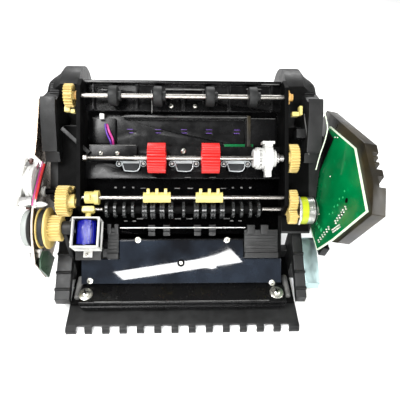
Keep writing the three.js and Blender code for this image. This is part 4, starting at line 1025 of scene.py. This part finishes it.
def right_motor():
    near_end = deck_box("right_motor")[0][0]
    axis = RIGHT_MOTOR
    back = [
        (109.6, 12.8), (123.6, 12.8), (125, 12.2), (125.5, 11), (125.5, 6.6), (126.4, 6.4), (126.6, 5),
        (128, 4.8),
    ]
    new_piece("motor_body", lathe(back, axis, 72), SHEET, nodes=("right_motor",), sharp=30)
    octagon = [(axis[0] + a, axis[1] + b) for a, b in circle(14.6, 8, math.pi / 8)]
    front = extrude_x(octagon, near_end, 109.7)
    new_piece("motor_plate", front, SHEET, bevel=0.4)
    band = lathe([(110.4, 13), (116.6, 13)], axis, 72, bore=12.6)
    new_piece("motor_label_band", band, LABEL, sharp=30)
    rings = [lathe([(x, 13), (x + 0.9, 13)], axis, 72, bore=12.6) for x in (118, 119.8, 121.6)]
    new_piece("motor_rings", merge(*rings), SHEET, sharp=30)
    seam = lathe([(123, 13.05), (124, 13)], axis, 72, bore=12.4)
    new_piece("motor_seam", seam, DARK_AND_SHADE, sharp=30)


# The control board leans out from the right side, about a line 50 mm up.
LEAN = Matrix.Translation((128, 0, 50)) @ Matrix.Rotation(math.atan(0.21), 4, "Y")
LEAN = LEAN @ Matrix.Translation((0, 0, -50))
BOARD_OUTLINE = [(60, 53), (67, 133), (11, 150), (-49, 133), (-35.5, 80), (-26, 53)]


def scaled(points, factor):
    middle = [sum(p[i] for p in points) / len(points) for i in (0, 1)]
    return [tuple(middle[i] + factor * (p[i] - middle[i]) for i in (0, 1)) for p in points]


def electronics():
    refined("main_board", BOARD, 0.1)
    edge = extrude_x(scaled(BOARD_OUTLINE, 1.004), -0.1, 1.7, [list(reversed(scaled(BOARD_OUTLINE, 0.983)))])
    new_piece("board_edge", edge, LAMINATE, place=LEAN)
    refined("board_housing", HOUSING, 0.5)
    pins = []
    for y0, z0, y1, z1 in (
        (-25.7, 93.7, -25.9, 112.4), (-21.2, 60.7, -22.4, 81.5), (-29.5, 85.6, -33.3, 97),
    ):
        count = 6
        for i in range(count):
            t = i / (count - 1)
            y, z = y0 + (y1 - y0) * t, z0 + (z1 - z0) * t
            for side in (-1.3, 1.3):
                pin = lathe([(-1.2, 0.4), (-0.7, 0.7), (0.2, 0.8)], sides=10)
                pins.append(shift(pin, 0, y + side, z + random.uniform(-0.3, 0.3)))
    for y, z in ((44, 136.6), (47.9, 133.7), (20, 108), (31, 84), (2, 74)):
        pins.append(shift(lathe([(-0.6, 0.5), (0.2, 0.9)], sides=12), 0, y, z))
    new_piece("solder_joints", merge(*pins), SCREW, place=LEAN)
    # A thin dark disc and slot laid on the board: painted shade for its hole and slot.
    holes = merge(
        shift(lathe([(-0.15, 2.3), (0.3, 2.3)], sides=28), 0, -20.7, 116.5),
        box(-0.15, 0.2, -27.4, -25.6, 99, 108),
    )
    new_piece("board_holes", holes, DARK_AND_SHADE, place=LEAN)
    board_trim()


def board_trim():
    """What is fixed on the control board and round it."""
    rows = []
    for i in range(6):
        rows.append(box(-0.35, 0.1, 14 - 6 * i, 17 - 6 * i, 58 + 2 * i, 61 + 2 * i))
    for i in range(7):
        rows.append(box(-0.3, 0.1, -12 - 3 * (i % 2), -10.4 - 3 * (i % 2), 88 + 5 * i, 89.4 + 5 * i))
    new_piece("board_parts", merge(*rows), BOARD_LIGHT, place=LEAN, bevel=0.1)
    plugs = merge(box(2, 9, -30, -12, 50, 61), box(2, 8, -8, 4, 49, 58))
    new_piece("board_plugs", plugs, BLACK, place=LEAN, bevel=0.8)
    # A dark plate just in front of the board's near part: painted shade where the board lies dark.
    outline = [(60, 56), (66, 130), (48, 132), (40, 96), (30, 78), (16, 60), (8, 54)]
    painted_shade_plate = extrude_x(outline, -1.4, -0.5)
    new_piece("board_painted_shade", painted_shade_plate, DARK_AND_SHADE, place=LEAN, bevel=0.3)
    line = [(131, 148.6, 71), (134.6, 136, 68.6), (133.6, 125, 66), (129.6, 110, 62.5), (126.5, 96, 60)]
    new_piece("board_pale_line", tube_bm(line, 0.55, 10), LAMINATE)
    bars("cream_foot", [(122, 133, -21.4, -18.2, 34, 41)], PALE, bevel=0.5)
    bars("cheek_block", [(107.9, 116.6, 126.6, 135.2, 48, 60)], TEXTURED, bevel=0.6)
    strip = [(114.8, 149, 61), (117.4, 128, 61.5), (119.4, 110.4, 61)]
    new_piece("cheek_strip", tube_bm(strip, 0.6, 10), GREY_AND_HIGHLIGHT)


# ---- lower front ---------------------------------------------
def washer_screws():
    for node in ("left_washer_screw", "right_washer_screw"):
        low, high = world_box(node)
        x, y, z = (low.x + high.x) / 2, (low.y + high.y) / 2, low.z
        washer = upright(lathe([(0, 6.4), (0.3, 6.6), (0.9, 6.6), (1.1, 6.3)], sides=48))
        head = upright(lathe([(1, 3.9), (2.2, 3.9), (3.2, 3.1), (3.8, 1.6), (4, 0.6)], sides=40))
        whole = shift(merge(washer, head), x, y, z)
        new_piece(f"{node}_head", whole, SCREW, nodes=(node,), place=WORLD, sharp=40)
        # The dark cross sits flush with the head's top: painted shade for the cross recess.
        marks = []
        for turn in (0.3, 0.3 + math.pi / 2):
            marks.append(moved(box(-2.6, 2.6, -0.55, 0.55, 3, 4.02), Matrix.Rotation(turn, 4, "Z")))
        cross = shift(merge(*marks), x, y, z)
        new_piece(f"{node}_recess", cross, DARK_AND_SHADE, place=WORLD, bevel=0.1)


def ledge_lines():
    bars("ledge_highlight", [(-84, 82, -61.8, -61.2, 20.8, 21.3)], GREY_AND_HIGHLIGHT, bevel=0.2, place=WORLD)
    rail_parts = []
    for y in (-20, -36, -50):
        z = 41.5 + 0.525 * (y + 19.5)
        rail_parts.append((-122.4, -107.8, y - 1.2, y + 1.2, z - 4, z + 0.9))
        rail_parts.append((108.8, 119.2, y - 2, y + 0.4, z - 4, z + 0.9))
    bars("rail_collars", rail_parts, TEXTURED, bevel=0.7, place=WORLD)
    fillers, rods = [], []
    for side in (-1, 1):
        fillers.append((*sorted((side * 97.4, side * 108.2)), -58, 0, 10, 13))
        rods.append(lathe([(-54, 2.6), (-53.4, 3), (-30.6, 3), (-30, 2.6)], (side * 102, 15), 24))
    bars("rail_gap_plates", fillers, DARK_AND_SHADE, place=WORLD)
    turned = moved(merge(*rods), Matrix.Rotation(math.radians(90), 4, "Z"))
    new_piece("rail_gap_rods", turned, GREY_AND_HIGHLIGHT, place=WORLD, sharp=30)


plain_shells()
rib_region()
solenoid_region()
left_gears()
knob_and_belt()
left_motor()
right_drive()
right_motor()
electronics()
washer_screws()
ledge_lines()
cheek_trim()
wing_shade_sheets()
top_region()
top_trim()
panel_region()
feed_shaft_and_rollers()
feed_clutch_and_gear()
panel_screws_and_lenses()

for node, part in frame["nodes"].items():
    part.data.materials.clear()
    part.data.materials.append(BY_SLOT[SLOT[node]])
